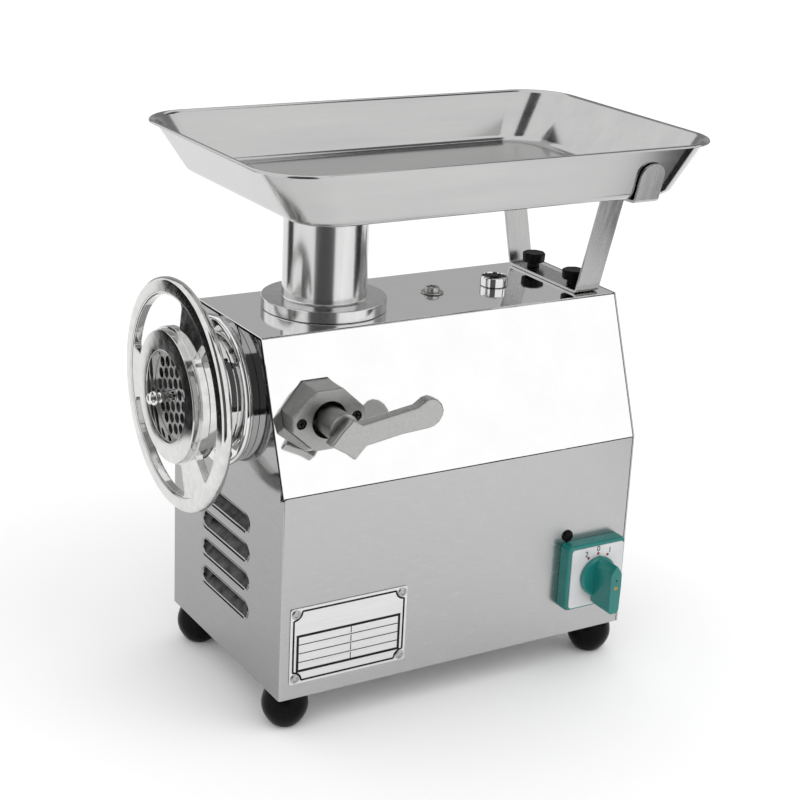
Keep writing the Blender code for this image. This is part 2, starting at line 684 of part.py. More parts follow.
def tray():
    """A deep pan: floor, sloping walls and a lip that is turned down at its edge."""
    half_x = TRAY_WIDTH / 2
    half_y = TRAY_LENGTH / 2
    wall_x = half_x - LIP_WIDTH
    wall_y = half_y - LIP_WIDTH
    levels = [
        (wall_x - SIDE_SLOPE, wall_y - END_SLOPE, FLOOR_CORNER, FLOOR_Z),
        (wall_x, wall_y, RIM_CORNER - LIP_WIDTH, RIM_HEIGHT - 0.0015),
        (wall_x + 0.002, wall_y + 0.002, RIM_CORNER - LIP_WIDTH + 0.002, RIM_HEIGHT - TRAY_SHEET),
        (half_x - TRAY_SHEET - 0.001, half_y - TRAY_SHEET - 0.001, RIM_CORNER - 0.002,
         RIM_HEIGHT - TRAY_SHEET),
        (half_x - TRAY_SHEET, half_y - TRAY_SHEET, RIM_CORNER - 0.001, RIM_HEIGHT - LIP_DROP),
    ]
    bm = bmesh.new()
    rings = [
        [bm.verts.new((x, y, z)) for x, y in rounded_rectangle(reach_x, reach_y, corner)]
        for reach_x, reach_y, corner, z in levels
    ]
    bm.faces.new(rings[0][::-1])
    for lower, upper in zip(rings, rings[1:]):
        for i in range(len(lower)):
            j = (i + 1) % len(lower)
            bm.faces.new((lower[i], lower[j], upper[j], upper[i]))
    pan = place(to_mesh_object("tray", bm), (0, TRAY_MIDDLE, 0), "brushed_stainless")
    sheet = pan.modifiers.new("sheet", "SOLIDIFY")
    sheet.thickness = TRAY_SHEET
    sheet.offset = -1
    sheet.use_even_offset = True
    throat = FEED_RADIUS - FEED_WALL - RUNNING - TRAY_SHEET
    hole(pan, "tray_throat", throat, -0.01, 0.01, "Z", (0, FEED_Y, FLOOR_Z), FINE)
    tube("tray_collar", throat, throat + TRAY_SHEET, -COLLAR_HEIGHT, -GAP, "Z",
         (0, FEED_Y, FLOOR_Z), "brushed_stainless", FINE)


def tray_bracket():
    """One strap: a base on the body, two legs that lean outwards, ledges and upturned tabs."""
    half = STRAP_THICKNESS / 2
    base_z = BODY_HEIGHT + GAP + half
    ledge_z = FLOOR_Z - GAP - half
    wall_x = TRAY_WIDTH / 2 - LIP_WIDTH - SIDE_SLOPE
    tab_x = wall_x + TAB_CLEARANCE + half
    leg_top = ledge_z - 0.001
    leg_x = tab_x - LEDGE_LENGTH
    tab_lean = SIDE_SLOPE / TRAY_DEPTH
    tab_top_x = tab_x + TAB_HEIGHT * tab_lean
    right = [
        (BRACKET_BASE / 2, base_z), (leg_x, leg_top), (tab_x, ledge_z),
        (tab_top_x, ledge_z + TAB_HEIGHT),
    ]
    line = [(-x, z) for x, z in reversed(right)] + right
    bm = bmesh.new()
    rows = []
    for y in (-STRAP_WIDTH / 2, STRAP_WIDTH / 2):
        rows.append([bm.verts.new((x, y, z)) for x, z in line])
    for i in range(len(line) - 1):
        bm.faces.new((rows[0][i], rows[0][i + 1], rows[1][i + 1], rows[1][i]))
    strap = place(to_mesh_object("tray_bracket", bm), (0, BRACKET_Y, 0), "brushed_stainless")
    sheet = strap.modifiers.new("sheet", "SOLIDIFY")
    sheet.thickness = STRAP_THICKNESS
    sheet.offset = 0
    sheet.use_even_offset = True
    for name, side in (("right", 1), ("left", -1)):
        at = (side * KNOB_SPREAD / 2, BRACKET_Y, base_z + half + GAP)
        stem = KNOB_HEIGHT - KNOB_CAP_HEIGHT
        profile = [
            (0.0, 0.0), (KNOB_STEM_RADIUS * 1.2, 0.0), (KNOB_STEM_RADIUS, stem),
            (KNOB_CAP_RADIUS * 0.85, stem), (KNOB_CAP_RADIUS, stem + 0.002),
            (KNOB_CAP_RADIUS, KNOB_HEIGHT - 0.0025), (KNOB_CAP_RADIUS * 0.8, KNOB_HEIGHT),
            (0.0, KNOB_HEIGHT),
        ]
        turned(f"thumb_knob_{name}", profile, "Z", at, "black_plastic", SMALL)


def boss_outline(grow=0.0):
    """The clamp boss: a stretched octagon with short top, bottom and side edges."""
    wide = BOSS_HALF_WIDTH + grow
    tall = BOSS_HALF_HEIGHT + grow
    blunt = tall * 0.25
    shoulder = wide * 0.36
    half = [(wide, -blunt), (wide, blunt), (shoulder, tall)]
    return half + [(-y, z) for y, z in reversed(half)] + [(-shoulder, -tall), (shoulder, -tall)]


def lever_outline():
    """The lever seen along its axis: a diamond hub and an arm with a round end."""
    end_y = LEVER_REACH - 0.010
    end_z = LEVER_RISE + 0.001
    round_end = [
        (end_y + 0.011 * math.cos(math.radians(a)), end_z + 0.011 * math.sin(math.radians(a)))
        for a in range(-80, 121, 25)
    ]
    return [(-0.017, -0.006), (0.004, -0.025), (0.016, -0.013), *round_end, (0.062, 0.010),
            (0.012, 0.0065), (0.003, 0.013)]


def head_clamp():
    """Boss, boss screws, stud and lever that hold the barrel in its seat."""
    face = side_x(CLAMP_Z) + BOSS_PROJECTION
    root = SEAT_RADIUS + 2 * RUNNING
    at = ((face + root) / 2, CLAMP_Y, CLAMP_Z)
    boss = flat("clamp_boss", [boss_outline(), circle_points(BOSS_BORE, MEDIUM)], face - root, "X",
                at, "cast_aluminium")
    head = [(0.0, 0.0), (0.004, 0.0), (0.004, 0.0012), (0.0, 0.0012)]
    for name, side in (("front", -1), ("rear", 1)):
        y = CLAMP_Y + side * BOSS_SCREW_SPREAD / 2
        turned(f"boss_screw_{name}", head, "X", (face + GAP, y, CLAMP_Z), "black_plastic", SMALL)
    lever_x = face + LEVER_STANDOFF
    stud_end = lever_x - 0.030
    rod("clamp_stud", STUD_RADIUS, BARREL_RADIUS + RUNNING, stud_end - GAP, "X",
        (0, CLAMP_Y, CLAMP_Z), "steel", SMALL)
    lever = as_mesh(flat("clamp_lever", [lever_outline()], LEVER_THICKNESS, "X",
                         (lever_x, CLAMP_Y, CLAMP_Z), "cast_aluminium"))
    hub = rod("lever_hub", LEVER_HUB_RADIUS, stud_end, lever_x, "X", (0, CLAMP_Y, CLAMP_Z),
              "cast_aluminium")
    cut(lever, hub, "UNION")
    return boss


def rotary_switch():
    """Switch body, dial plate, knob and the contact block inside the side panel."""
    outer = BASE_WIDTH / 2
    body_x = outer + GAP
    box("switch_body", (SWITCH_DEPTH, SWITCH_SIZE, SWITCH_SIZE),
        (body_x + SWITCH_DEPTH / 2, SWITCH_Y, SWITCH_Z), "teal_plastic", 0.0015)
    dial_x = body_x + SWITCH_DEPTH + GAP
    dial_size = SWITCH_SIZE - 0.004
    dial = [(y, z) for y, z in rounded_rectangle(dial_size / 2, dial_size / 2, 0.004, 3)]
    flat("dial_plate", [dial], DIAL_THICKNESS, "X",
         (dial_x + DIAL_THICKNESS / 2, SWITCH_Y, SWITCH_Z), "dial_face")
    knob = rod("switch_knob", SWITCH_KNOB_RADIUS, 0, SWITCH_KNOB_DISC, "X",
               (KNOB_BASE_X, SWITCH_Y, SWITCH_Z), "teal_plastic")
    grip_height = SWITCH_GRIP_ABOVE + SWITCH_GRIP_BELOW
    grip_z = SWITCH_Z + (SWITCH_GRIP_ABOVE - SWITCH_GRIP_BELOW) / 2
    grip_depth = SWITCH_KNOB_HEIGHT - 0.002
    grip = box("grip", (grip_depth, SWITCH_GRIP_WIDTH, grip_height),
               (KNOB_BASE_X + 0.002 + grip_depth / 2, SWITCH_Y, grip_z), "teal_plastic", 0.0015)
    cut(knob, grip, "UNION")
    inner = outer - SHEET - GAP
    box("contact_block", (CONTACT_DEPTH, CONTACT_SIZE, CONTACT_SIZE),
        (inner - CONTACT_DEPTH / 2, SWITCH_Y, SWITCH_Z), "black_plastic", 0.001)


def top_fittings():
    """The oil filler cap, which turns in its hole, and the pan screw before it."""
    neck = FILLER_RADIUS * 0.6
    profile = [
        (0.0, -0.006), (neck, -0.006), (neck, GAP), (FILLER_RADIUS, GAP),
        (FILLER_RADIUS, FILLER_HEIGHT - 0.001), (FILLER_RADIUS - 0.001, FILLER_HEIGHT),
        (FILLER_RADIUS - 0.003, FILLER_HEIGHT), (FILLER_RADIUS - 0.004, FILLER_HEIGHT - 0.003),
        (0.0, FILLER_HEIGHT - 0.003),
    ]
    at = (0, BODY_LENGTH - FILLER_FROM_REAR, BODY_HEIGHT)
    turned("oil_filler_cap", profile, "Z", at, "polished_stainless", MEDIUM)
    head = [
        (0.0, 0.0), (TOP_WASHER_RADIUS, 0.0), (TOP_WASHER_RADIUS, 0.001), (TOP_SCREW_RADIUS, 0.001),
        (TOP_SCREW_RADIUS, 0.0035), (TOP_SCREW_RADIUS * 0.7, 0.005), (0.0, 0.005),
    ]
    at = (0, BODY_LENGTH - TOP_SCREW_FROM_REAR, BODY_HEIGHT + GAP)
    turned("top_screw", head, "Z", at, "polished_stainless", SMALL)


def gear_outline(teeth, module, phase):
    """Straight-flanked teeth, with room at their sides and tips. phase turns the first tooth."""
    pitch_radius = teeth * module / 2
    turn = 2 * math.pi / teeth
    root = pitch_radius - 1.3 * module
    tip = pitch_radius + 0.85 * module
    points = []
    for i in range(teeth):
        middle = phase + turn * i
        for share, radius in ((-0.33, root), (-0.13, tip), (0.13, tip), (0.33, root)):
            angle = middle + share * turn
            points.append((radius * math.cos(angle), radius * math.sin(angle)))
    return points


def bearing(name, shaft_radius, start, at):
    tube(name, shaft_radius + GAP, shaft_radius + BEARING_WALL, start, start + BEARING_WIDTH, "Y",
         at, "steel")


def gear_train():
    """Motor pinion, intermediate gear and pinion on a layshaft, and output gear on its shaft."""
    down = -math.pi / 2
    up = math.pi / 2
    half_tooth = math.pi / OUTPUT_TEETH
    first = (0, FIRST_STAGE_Y, 0)
    second = (0, SECOND_STAGE_Y, 0)
    pinion_bore = circle_points(MOTOR_SHAFT_RADIUS + GAP, SMALL)
    flat("motor_pinion", [gear_outline(PINION_TEETH, FIRST_MODULE, up), pinion_bore], FIRST_WIDTH,
         "Y", (0, first[1], MOTOR_Z), "steel")
    layshaft_bore = circle_points(LAYSHAFT_RADIUS + GAP, SMALL)
    meshed = down + math.pi / INTERMEDIATE_TEETH
    flat("intermediate_gear", [gear_outline(INTERMEDIATE_TEETH, FIRST_MODULE, meshed), layshaft_bore],
         FIRST_WIDTH, "Y", (0, first[1], LAYSHAFT_Z), "steel")
    pinion = flat("layshaft_teeth", [gear_outline(PINION_TEETH, SECOND_MODULE, up)], SECOND_WIDTH, "Y",
                  (0, second[1], LAYSHAFT_Z), "steel")
    output_bore = circle_points(OUTPUT_SHAFT_RADIUS + GAP, SMALL)
    flat("output_gear", [gear_outline(OUTPUT_TEETH, SECOND_MODULE, down + half_tooth), output_bore],
         SECOND_WIDTH, "Y", (0, second[1], AXIS_Z), "steel")
    shaft_front = BARREL_REAR - 0.0055
    inner_front = CASE_FRONT + CASE_FRONT_WALL
    rod("output_shaft", OUTPUT_SHAFT_RADIUS, shaft_front, CASE_REAR - GAP, "Y", (0, 0, AXIS_Z),
        "steel", SMALL)
    layshaft = rod("layshaft_pinion", LAYSHAFT_RADIUS, inner_front + GAP, CASE_REAR - GAP, "Y",
                   (0, 0, LAYSHAFT_Z), "steel", SMALL)
    cut(layshaft, as_mesh(pinion), "UNION")
    front = inner_front + GAP
    rear = CASE_REAR - BEARING_WIDTH - GAP
    lines = (("output", OUTPUT_SHAFT_RADIUS, AXIS_Z), ("layshaft", LAYSHAFT_RADIUS, LAYSHAFT_Z))
    for name, shaft, z in lines:
        bearing(f"{name}_bearing_front", shaft, front, (0, 0, z))
        bearing(f"{name}_bearing_rear", shaft, rear, (0, 0, z))


def gearbox():
    """A case with round ends, open at the rear, and the cover that closes it."""
    height = AXIS_Z - MOTOR_Z
    middle = (0.0, (AXIS_Z + MOTOR_Z) / 2)
    outline = slot_points(height + 2 * CASE_RADIUS, 2 * CASE_RADIUS, (0, 0), True, 12)
    cavity = slot_points(height + 2 * CASE_CAVITY, 2 * CASE_CAVITY, (0, 0), True, 12)
    depth = CASE_REAR - CASE_FRONT
    case = as_mesh(flat("gearbox_case", [outline], depth, "Y",
                        (0, CASE_FRONT + depth / 2, middle[1]), "cast_iron"))
    inside = depth - CASE_FRONT_WALL
    room = flat("case_cavity", [cavity], inside * 1.1, "Y",
                (0, CASE_FRONT + CASE_FRONT_WALL + inside * 0.55, middle[1]), "steel")
    cut(case, as_mesh(room))
    hole(case, "case_shaft_hole", OUTPUT_SHAFT_RADIUS + RUNNING, 0, CASE_REAR, "Y", (0, 0, AXIS_Z), SMALL)
    shaft_hole = circle_points(MOTOR_SHAFT_RADIUS + RUNNING, SMALL, (0, MOTOR_Z - middle[1]))
    flat("gearbox_cover", [outline, shaft_hole], CASE_FLANGE, "Y",
         (0, CASE_REAR + GAP + CASE_FLANGE / 2, middle[1]), "cast_iron")


def motor():
    """Housing, shields, stator, rotor, bearings, fan and the cradle that they stand on."""
    at = (0, 0, MOTOR_Z)
    inner = MOTOR_RADIUS - MOTOR_WALL
    shaft_room = MOTOR_SHAFT_RADIUS + RUNNING
    front = MOTOR_FRONT
    rear = MOTOR_REAR
    tube("motor_front_shield", shaft_room, MOTOR_RADIUS, front, front + SHIELD_THICKNESS, "Y", at,
         "motor_paint")
    tube("motor_housing", inner, MOTOR_RADIUS, front + SHIELD_THICKNESS + GAP,
         rear - SHIELD_THICKNESS - GAP, "Y", at, "motor_paint")
    tube("motor_rear_shield", shaft_room, MOTOR_RADIUS, rear - SHIELD_THICKNESS, rear, "Y", at,
         "motor_paint")
    room = front + SHIELD_THICKNESS + BEARING_WIDTH + 0.004
    end = rear - SHIELD_THICKNESS - BEARING_WIDTH - 0.004
    tube("stator", STATOR_BORE, inner - GAP, room, end, "Y", at, "copper_winding")
    core = STATOR_BORE - MOTOR_AIR_GAP
    shaft_end = rear + FAN_BEHIND_MOTOR + FAN_WIDTH
    rotor = [
        (0.0, FIRST_STAGE_Y - FIRST_WIDTH / 2), (MOTOR_SHAFT_RADIUS, FIRST_STAGE_Y - FIRST_WIDTH / 2),
        (MOTOR_SHAFT_RADIUS, room), (core, room), (core, end), (MOTOR_SHAFT_RADIUS, end),
        (MOTOR_SHAFT_RADIUS, shaft_end), (0.0, shaft_end),
    ]
    turned("rotor", rotor, "Y", at, "steel", MEDIUM)
    bearing("motor_bearing_front", MOTOR_SHAFT_RADIUS, front + SHIELD_THICKNESS + GAP, at)
    bearing("motor_bearing_rear", MOTOR_SHAFT_RADIUS, rear - SHIELD_THICKNESS - BEARING_WIDTH - GAP, at)
    blades = []
    for i in range(FAN_BLADES):
        angle = 360 * i / FAN_BLADES
        for offset, reach in ((-8, FAN_RADIUS), (8, FAN_RADIUS), (30, FAN_RADIUS * 0.4)):
            turn = math.radians(angle + offset)
            blades.append((reach * math.cos(turn), reach * math.sin(turn)))
    flat("motor_fan", [blades, circle_points(MOTOR_SHAFT_RADIUS + GAP, SMALL)], FAN_WIDTH, "Y",
         (0, rear + FAN_BEHIND_MOTOR + FAN_WIDTH / 2, MOTOR_Z), "black_plastic")
    cradle_top = MOTOR_Z - MOTOR_RADIUS * 0.75
    cradle_length = (rear - front) * 0.7
    foot = SHEET + GAP
    cradle = box("motor_cradle", (MOTOR_RADIUS, cradle_length, cradle_top - foot),
                 (0, (front + rear) / 2, (cradle_top + foot) / 2), "steel")
    hole(cradle, "cradle_hollow", MOTOR_RADIUS + RUNNING, front, rear, "Y", at, FINE)


def electrics():
    """The run capacitor beside the motor, and the gland where the mains lead enters."""
    x = -(BASE_WIDTH / 2 - SHEET - CAPACITOR_RADIUS - 0.008)
    z = SHEET + CAPACITOR_RADIUS + 0.004
    rear = BODY_LENGTH - SHEET
    end = rear - CAPACITOR_FROM_REAR
    rod("capacitor", CAPACITOR_RADIUS, end - CAPACITOR_LENGTH, end, "Y", (x, 0, z), "black_plastic")
    neck = GLAND_RADIUS * 0.7
    outer = BODY_LENGTH + GAP
    profile = [
        (0.003, rear - 0.006), (neck, rear - 0.006), (neck, outer), (GLAND_RADIUS, outer),
        (GLAND_RADIUS, outer + GLAND_LENGTH * 0.5), (neck, outer + GLAND_LENGTH),
        (0.003, outer + GLAND_LENGTH),
    ]
    turned("cable_gland", profile, "Y", (-BASE_WIDTH / 3, 0, LOWEST_SLOT / 2), "black_plastic", SMALL)


def main():
    set_up_scene()
    make_finishes()
    body_panels()
    upper_cover()
    feet()
    nameplate()
    head_seat()
    barrel()
    feed_screw()
    perforated_plate()
    ring_nut()
    feed_tube()
    tray()
    tray_bracket()
    head_clamp()
    rotary_switch()
    top_fittings()
    gear_train()
    gearbox()
    motor()
    electrics()


main()
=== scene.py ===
# Bench-top meat grinder in stainless steel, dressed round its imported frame. Sizes are in metres.
# Every dictionary holds what you would want to change on the piece below it.
import math

import bmesh
import bpy
from mathutils import Matrix, Vector


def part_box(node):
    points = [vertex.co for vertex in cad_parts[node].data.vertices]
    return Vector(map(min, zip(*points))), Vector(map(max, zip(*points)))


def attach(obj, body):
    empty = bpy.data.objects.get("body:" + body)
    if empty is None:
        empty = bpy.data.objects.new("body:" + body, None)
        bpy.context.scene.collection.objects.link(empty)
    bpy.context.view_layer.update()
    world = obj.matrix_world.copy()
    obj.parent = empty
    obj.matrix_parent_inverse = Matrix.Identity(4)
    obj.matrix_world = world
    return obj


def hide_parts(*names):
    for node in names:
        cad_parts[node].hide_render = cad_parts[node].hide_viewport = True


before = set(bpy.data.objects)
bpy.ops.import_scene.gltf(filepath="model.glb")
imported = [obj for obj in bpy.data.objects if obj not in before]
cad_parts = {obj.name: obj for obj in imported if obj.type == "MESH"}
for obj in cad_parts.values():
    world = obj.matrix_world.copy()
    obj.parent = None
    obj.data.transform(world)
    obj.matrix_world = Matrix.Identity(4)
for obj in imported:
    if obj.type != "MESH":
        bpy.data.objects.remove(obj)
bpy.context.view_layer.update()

# The upright middle plane, the face of the front panel and the underside of the body
panelLow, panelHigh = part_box("front_panel")
zero = Vector(((panelLow.x + panelHigh.x) / 2, panelLow.y, panelLow.z))
clear = 0.0003


def low(node):
    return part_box(node)[0] - zero


def high(node):
    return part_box(node)[1] - zero


def middle(node):
    return (low(node) + high(node)) / 2


def size(node):
    return high(node) - low(node)


# Small makers

turns = {
    "X": Matrix.Rotation(math.radians(90), 4, "Y"),
    "Y": Matrix.Rotation(math.radians(-90), 4, "X"),
    "Z": Matrix.Identity(4),
}


def tidyShell(bm, merge=0.000004):
    bmesh.ops.remove_doubles(bm, verts=bm.verts[:], dist=merge)
    bmesh.ops.recalc_face_normals(bm, faces=bm.faces[:])
    return bm


def moved(bm, offset):
    bmesh.ops.translate(bm, vec=Vector(offset), verts=bm.verts[:])
    return bm


def turned(bm, angle, axis, centre=(0, 0, 0)):
    spin = Matrix.Rotation(math.radians(angle), 3, axis)
    bmesh.ops.rotate(bm, cent=Vector(centre), matrix=spin, verts=bm.verts[:])
    return bm


def lathe(profile, axis="Z", at=(0, 0, 0), steps=96, joined=False, bm=None):
    # profile is (radius, place along the axis); a joined one closes on itself as a ring
    shape = bmesh.new()
    verts = [shape.verts.new((radius, 0, along)) for radius, along in profile]
    pairs = list(zip(verts, verts[1:]))
    if joined:
        pairs.append((verts[-1], verts[0]))
    edges = [shape.edges.new(pair) for pair in pairs]
    bmesh.ops.spin(
        shape, geom=verts + edges, cent=(0, 0, 0), axis=(0, 0, 1),
        angle=2 * math.pi, steps=steps, use_merge=True,
    )
    tidyShell(shape)
    bmesh.ops.transform(shape, matrix=Matrix.Translation(at) @ turns[axis], verts=shape.verts[:])
    return added(bm, shape)


def rod(radius, start, end, axis, at, steps=96):
    return lathe([(0, start), (radius, start), (radius, end), (0, end)], axis, at, steps)


def added(bm, shape):
    # puts a finished shape into another mesh, or hands it back alone
    if bm is None:
        return shape
    spare = bpy.data.meshes.new("spare")
    shape.to_mesh(spare)
    shape.free()
    bm.from_mesh(spare)
    bpy.data.meshes.remove(spare)
    return bm


def rounded(bm, geom, width, steps, affect="EDGES", clamp=False):
    bmesh.ops.bevel(
        bm, geom=geom, offset=width, offset_type="OFFSET", segments=steps, profile=0.5,
        affect=affect, clamp_overlap=clamp, material=-1,
    )
    return bm


def edgesAlong(bm, axis, least):
    # edges whose ends lie at least this far apart along the axis
    number = "xyz".index(axis)
    return [edge for edge in bm.edges if abs(edge.verts[0].co[number] - edge.verts[1].co[number]) > least]


def pulled(bm, parts, offset):
    # extrudes faces, or loose edges, and hands back the new vertices
    if isinstance(parts[0], bmesh.types.BMFace):
        grown = bmesh.ops.extrude_face_region(bm, geom=parts)
    else:
        grown = bmesh.ops.extrude_edge_only(bm, edges=parts)
    verts = [item for item in grown["geom"] if isinstance(item, bmesh.types.BMVert)]
    bmesh.ops.translate(bm, vec=offset, verts=verts)
    return verts


def softened(bm, width, steps=2, sharpness=30, keep=None):
    # rounds every edge that turns by more than the given angle
    least = math.radians(sharpness)
    edges = [
        edge for edge in bm.edges
        if len(edge.link_faces) == 2 and edge.calc_face_angle(0) > least and (keep is None or keep(edge))
    ]
    rounded(bm, edges, width, steps, clamp=True)
    return bm


def slab(outline, thickness, normal="Z", at=(0, 0, 0)):
    # a flat plate: the outline runs in (y, z) for X, (x, z) for Y and (x, y) for Z
    bm = bmesh.new()
    face = bm.faces.new([bm.verts.new((u, v, -thickness / 2)) for u, v in outline])
    pulled(bm, [face], (0, 0, thickness))
    upright = {
        "X": Matrix.Rotation(math.radians(90), 4, "Z") @ Matrix.Rotation(math.radians(90), 4, "X"),
        "Y": Matrix.Rotation(math.radians(90), 4, "X"),
        "Z": Matrix.Identity(4),
    }[normal]
    bmesh.ops.transform(bm, matrix=Matrix.Translation(at) @ upright, verts=bm.verts[:])
    return tidyShell(bm)


def block(sizes, at):
    bm = bmesh.new()
    bmesh.ops.create_cube(bm, size=1.0)
    bmesh.ops.scale(bm, vec=Vector(sizes), verts=bm.verts[:])
    return moved(bm, at)


def stadium(length, width, depth, at, steps=10):
    # a bar with round ends that runs along x and goes through along y
    bm = block((length, depth, width), at)
    ends = edgesAlong(bm, "y", depth / 2)
    rounded(bm, ends, width * 0.4999, steps)
    return tidyShell(bm)


def shapeOf(obj):
    # the mesh of an object with its modifiers or its curve worked out
    bpy.context.view_layer.update()
    graph = bpy.context.evaluated_depsgraph_get()
    mesh = bpy.data.meshes.new_from_object(obj.evaluated_get(graph))
    bm = bmesh.new()
    bm.from_mesh(mesh)
    bpy.data.meshes.remove(mesh)
    return bm


def carved(bm, tools, operation="DIFFERENCE"):
    # cuts or joins with other shapes, and hands back one mesh
    helpers = []
    for shape in [bm, *tools]:
        mesh = bpy.data.meshes.new("helper")
        shape.to_mesh(mesh)
        shape.free()
        helper = bpy.data.objects.new("helper", mesh)
        bpy.context.scene.collection.objects.link(helper)
        helpers.append(helper)
    target = helpers[0]
    for helper in helpers[1:]:
        cut = target.modifiers.new("cut", "BOOLEAN")
        cut.operation = operation
        cut.solver = "EXACT"
        cut.object = helper
    result = shapeOf(target)
    for helper in helpers:
        spent = helper.data
        bpy.data.objects.remove(helper)
        bpy.data.meshes.remove(spent)
    bmesh.ops.remove_doubles(result, verts=result.verts[:], dist=0.000002)
    return result


def piece(name, bm, material, body, stands=(), smooth=38, second=None):
    # makes the object: its place is in its mesh, and it rides on its body
    moved(bm, zero)
    mesh = bpy.data.meshes.new(name)
    bm.to_mesh(mesh)
    bm.free()
    mesh.shade_smooth()
    mesh.set_sharp_from_angle(angle=math.radians(smooth))
    made = bpy.data.objects.new(name, mesh)
    bpy.context.scene.collection.objects.link(made)
    mesh.materials.append(material)
    if second:
        # faces that look forwards
        mesh.materials.append(second)
        for polygon in mesh.polygons:
            polygon.material_index = 1 if polygon.normal.y < -0.72 else 0
    facing = made.modifiers.new("facing", "WEIGHTED_NORMAL")  # keeps wide flat faces flat beside fine bevels
    facing.keep_sharp = True
    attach(made, body)
    if stands:
        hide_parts(*stands)
    return made


# Finishes


def newFinish(name):
    material = bpy.data.materials.new(name)
    material.use_nodes = True
    return material, material.node_tree.nodes, material.node_tree.links


def grain(nodes, links, scale, detail=4, roughness=0.6, turn=(0, 0, 0), stretch=(1, 1, 1)):
    place = nodes.new("ShaderNodeTexCoord")
    mapping = nodes.new("ShaderNodeMapping")
    mapping.inputs["Rotation"].default_value = turn
    mapping.inputs["Scale"].default_value = stretch
    noise = nodes.new("ShaderNodeTexNoise")
    noise.inputs["Scale"].default_value = scale
    noise.inputs["Detail"].default_value = detail
    noise.inputs["Roughness"].default_value = roughness
    links.new(place.outputs["Object"], mapping.inputs["Vector"])
    links.new(mapping.outputs["Vector"], noise.inputs["Vector"])
    return noise.outputs["Fac"]


def spread(nodes, links, source, least, most, lowEnd=0.3, highEnd=0.7):
    reach = nodes.new("ShaderNodeMapRange")
    reach.inputs["From Min"].default_value = lowEnd
    reach.inputs["From Max"].default_value = highEnd
    reach.inputs["To Min"].default_value = least
    reach.inputs["To Max"].default_value = most
    links.new(source, reach.inputs["Value"])
    return reach.outputs["Result"]


def tinted(nodes, links, source, dark, light):
    ramp = nodes.new("ShaderNodeValToRGB")
    ramp.color_ramp.elements[0].position = 0.3
    ramp.color_ramp.elements[0].color = (*dark, 1)
    ramp.color_ramp.elements[1].position = 0.7
    ramp.color_ramp.elements[1].color = (*light, 1)
    links.new(source, ramp.inputs["Fac"])
    return ramp.outputs["Color"]


def relief(nodes, links, source, distance, strength=1.0):
    bump = nodes.new("ShaderNodeBump")
    bump.inputs["Distance"].default_value = distance
    bump.inputs["Strength"].default_value = strength
    links.new(source, bump.inputs["Height"])
    return bump.outputs["Normal"]


def steel(name, dark, light, gloss, brush, waves=0.00002, wavesScale=9, stretch=(1, 1, 1), depth=0.000004,
          turn=(0, 0, 0)):
    # gloss is the least and greatest roughness, brush the scale of the brushing lines
    material, nodes, links = newFinish(name)
    shader = nodes["Principled BSDF"]
    shader.inputs["Metallic"].default_value = 1.0
    lines = grain(nodes, links, brush, detail=5, stretch=stretch, turn=turn)
    clouds = grain(nodes, links, wavesScale, detail=2)
    links.new(tinted(nodes, links, lines, dark, light), shader.inputs["Base Color"])
    links.new(spread(nodes, links, lines, gloss[0], gloss[1]), shader.inputs["Roughness"])
    first = nodes.new("ShaderNodeBump")
    first.inputs["Distance"].default_value = waves
    links.new(clouds, first.inputs["Height"])
    second = nodes.new("ShaderNodeBump")
    second.inputs["Distance"].default_value = depth
    links.new(lines, second.inputs["Height"])
    links.new(first.outputs["Normal"], second.inputs["Normal"])
    links.new(second.outputs["Normal"], shader.inputs["Normal"])
    return material


def moulded(name, dark, light, roughness, scale=260, depth=0.00003, coat=0.0, specular=0.5):
    # plastic, rubber or paint with a fine skin
    material, nodes, links = newFinish(name)
    shader = nodes["Principled BSDF"]
    shader.inputs["Specular IOR Level"].default_value = specular
    shader.inputs["Coat Weight"].default_value = coat
    shader.inputs["Coat Roughness"].default_value = 0.08
    skin = grain(nodes, links, scale, detail=6)
    patches = grain(nodes, links, scale / 12, detail=3)
    links.new(tinted(nodes, links, patches, dark, light), shader.inputs["Base Color"])
    links.new(spread(nodes, links, skin, roughness * 0.85, roughness * 1.2), shader.inputs["Roughness"])
    links.new(relief(nodes, links, skin, depth), shader.inputs["Normal"])
    return material


mirrorSteel = steel("mirrorSteel", (0.72, 0.72, 0.72), (0.78, 0.78, 0.775), (0.03, 0.06), 40)
coverSteel = steel("coverSteel", (0.90, 0.90, 0.90), (0.93, 0.93, 0.93), (0.045, 0.07), 30, waves=0.00001)
wheelSteel = steel("wheelSteel", (0.60, 0.60, 0.59), (0.74, 0.74, 0.73), (0.05, 0.12), 120,
                   waves=0.00004, wavesScale=40)
# a darker copy of sideSteel for the faces that look forwards: front and sides are one sheet, so the darker colour
# is painted shade
shadedFrontSteel = steel("shadedFrontSteel", (0.335, 0.335, 0.335), (0.365, 0.365, 0.365), (0.07, 0.10), 60,
                   stretch=(1, 1, 8))
sideSteel = steel("sideSteel", (0.465, 0.465, 0.465), (0.495, 0.495, 0.495), (0.22, 0.28), 60,
                  stretch=(1, 1, 8))
traySteel = steel("traySteel", (0.48, 0.48, 0.48), (0.53, 0.53, 0.525), (0.12, 0.18), 45,
                  waves=0.00008, wavesScale=14, stretch=(1, 0.12, 1))
tubeSteel = steel("tubeSteel", (0.58, 0.58, 0.58), (0.70, 0.70, 0.695), (0.14, 0.22), 120,
                  stretch=(1, 1, 0.08))
strapSteel = steel("strapSteel", (0.42, 0.42, 0.42), (0.51, 0.51, 0.505), (0.20, 0.32), 150,
                   stretch=(0.15, 1, 0.15), waves=0.00006, wavesScale=30)
castAlloy = steel("castAlloy", (0.35, 0.35, 0.345), (0.43, 0.43, 0.42), (0.34, 0.46), 340,
                  waves=0.00025, wavesScale=45, depth=0.00003)
leverAlloy = steel("leverAlloy", (0.39, 0.39, 0.385), (0.47, 0.47, 0.46), (0.28, 0.40), 300,
                   waves=0.0002, wavesScale=40, depth=0.00002)
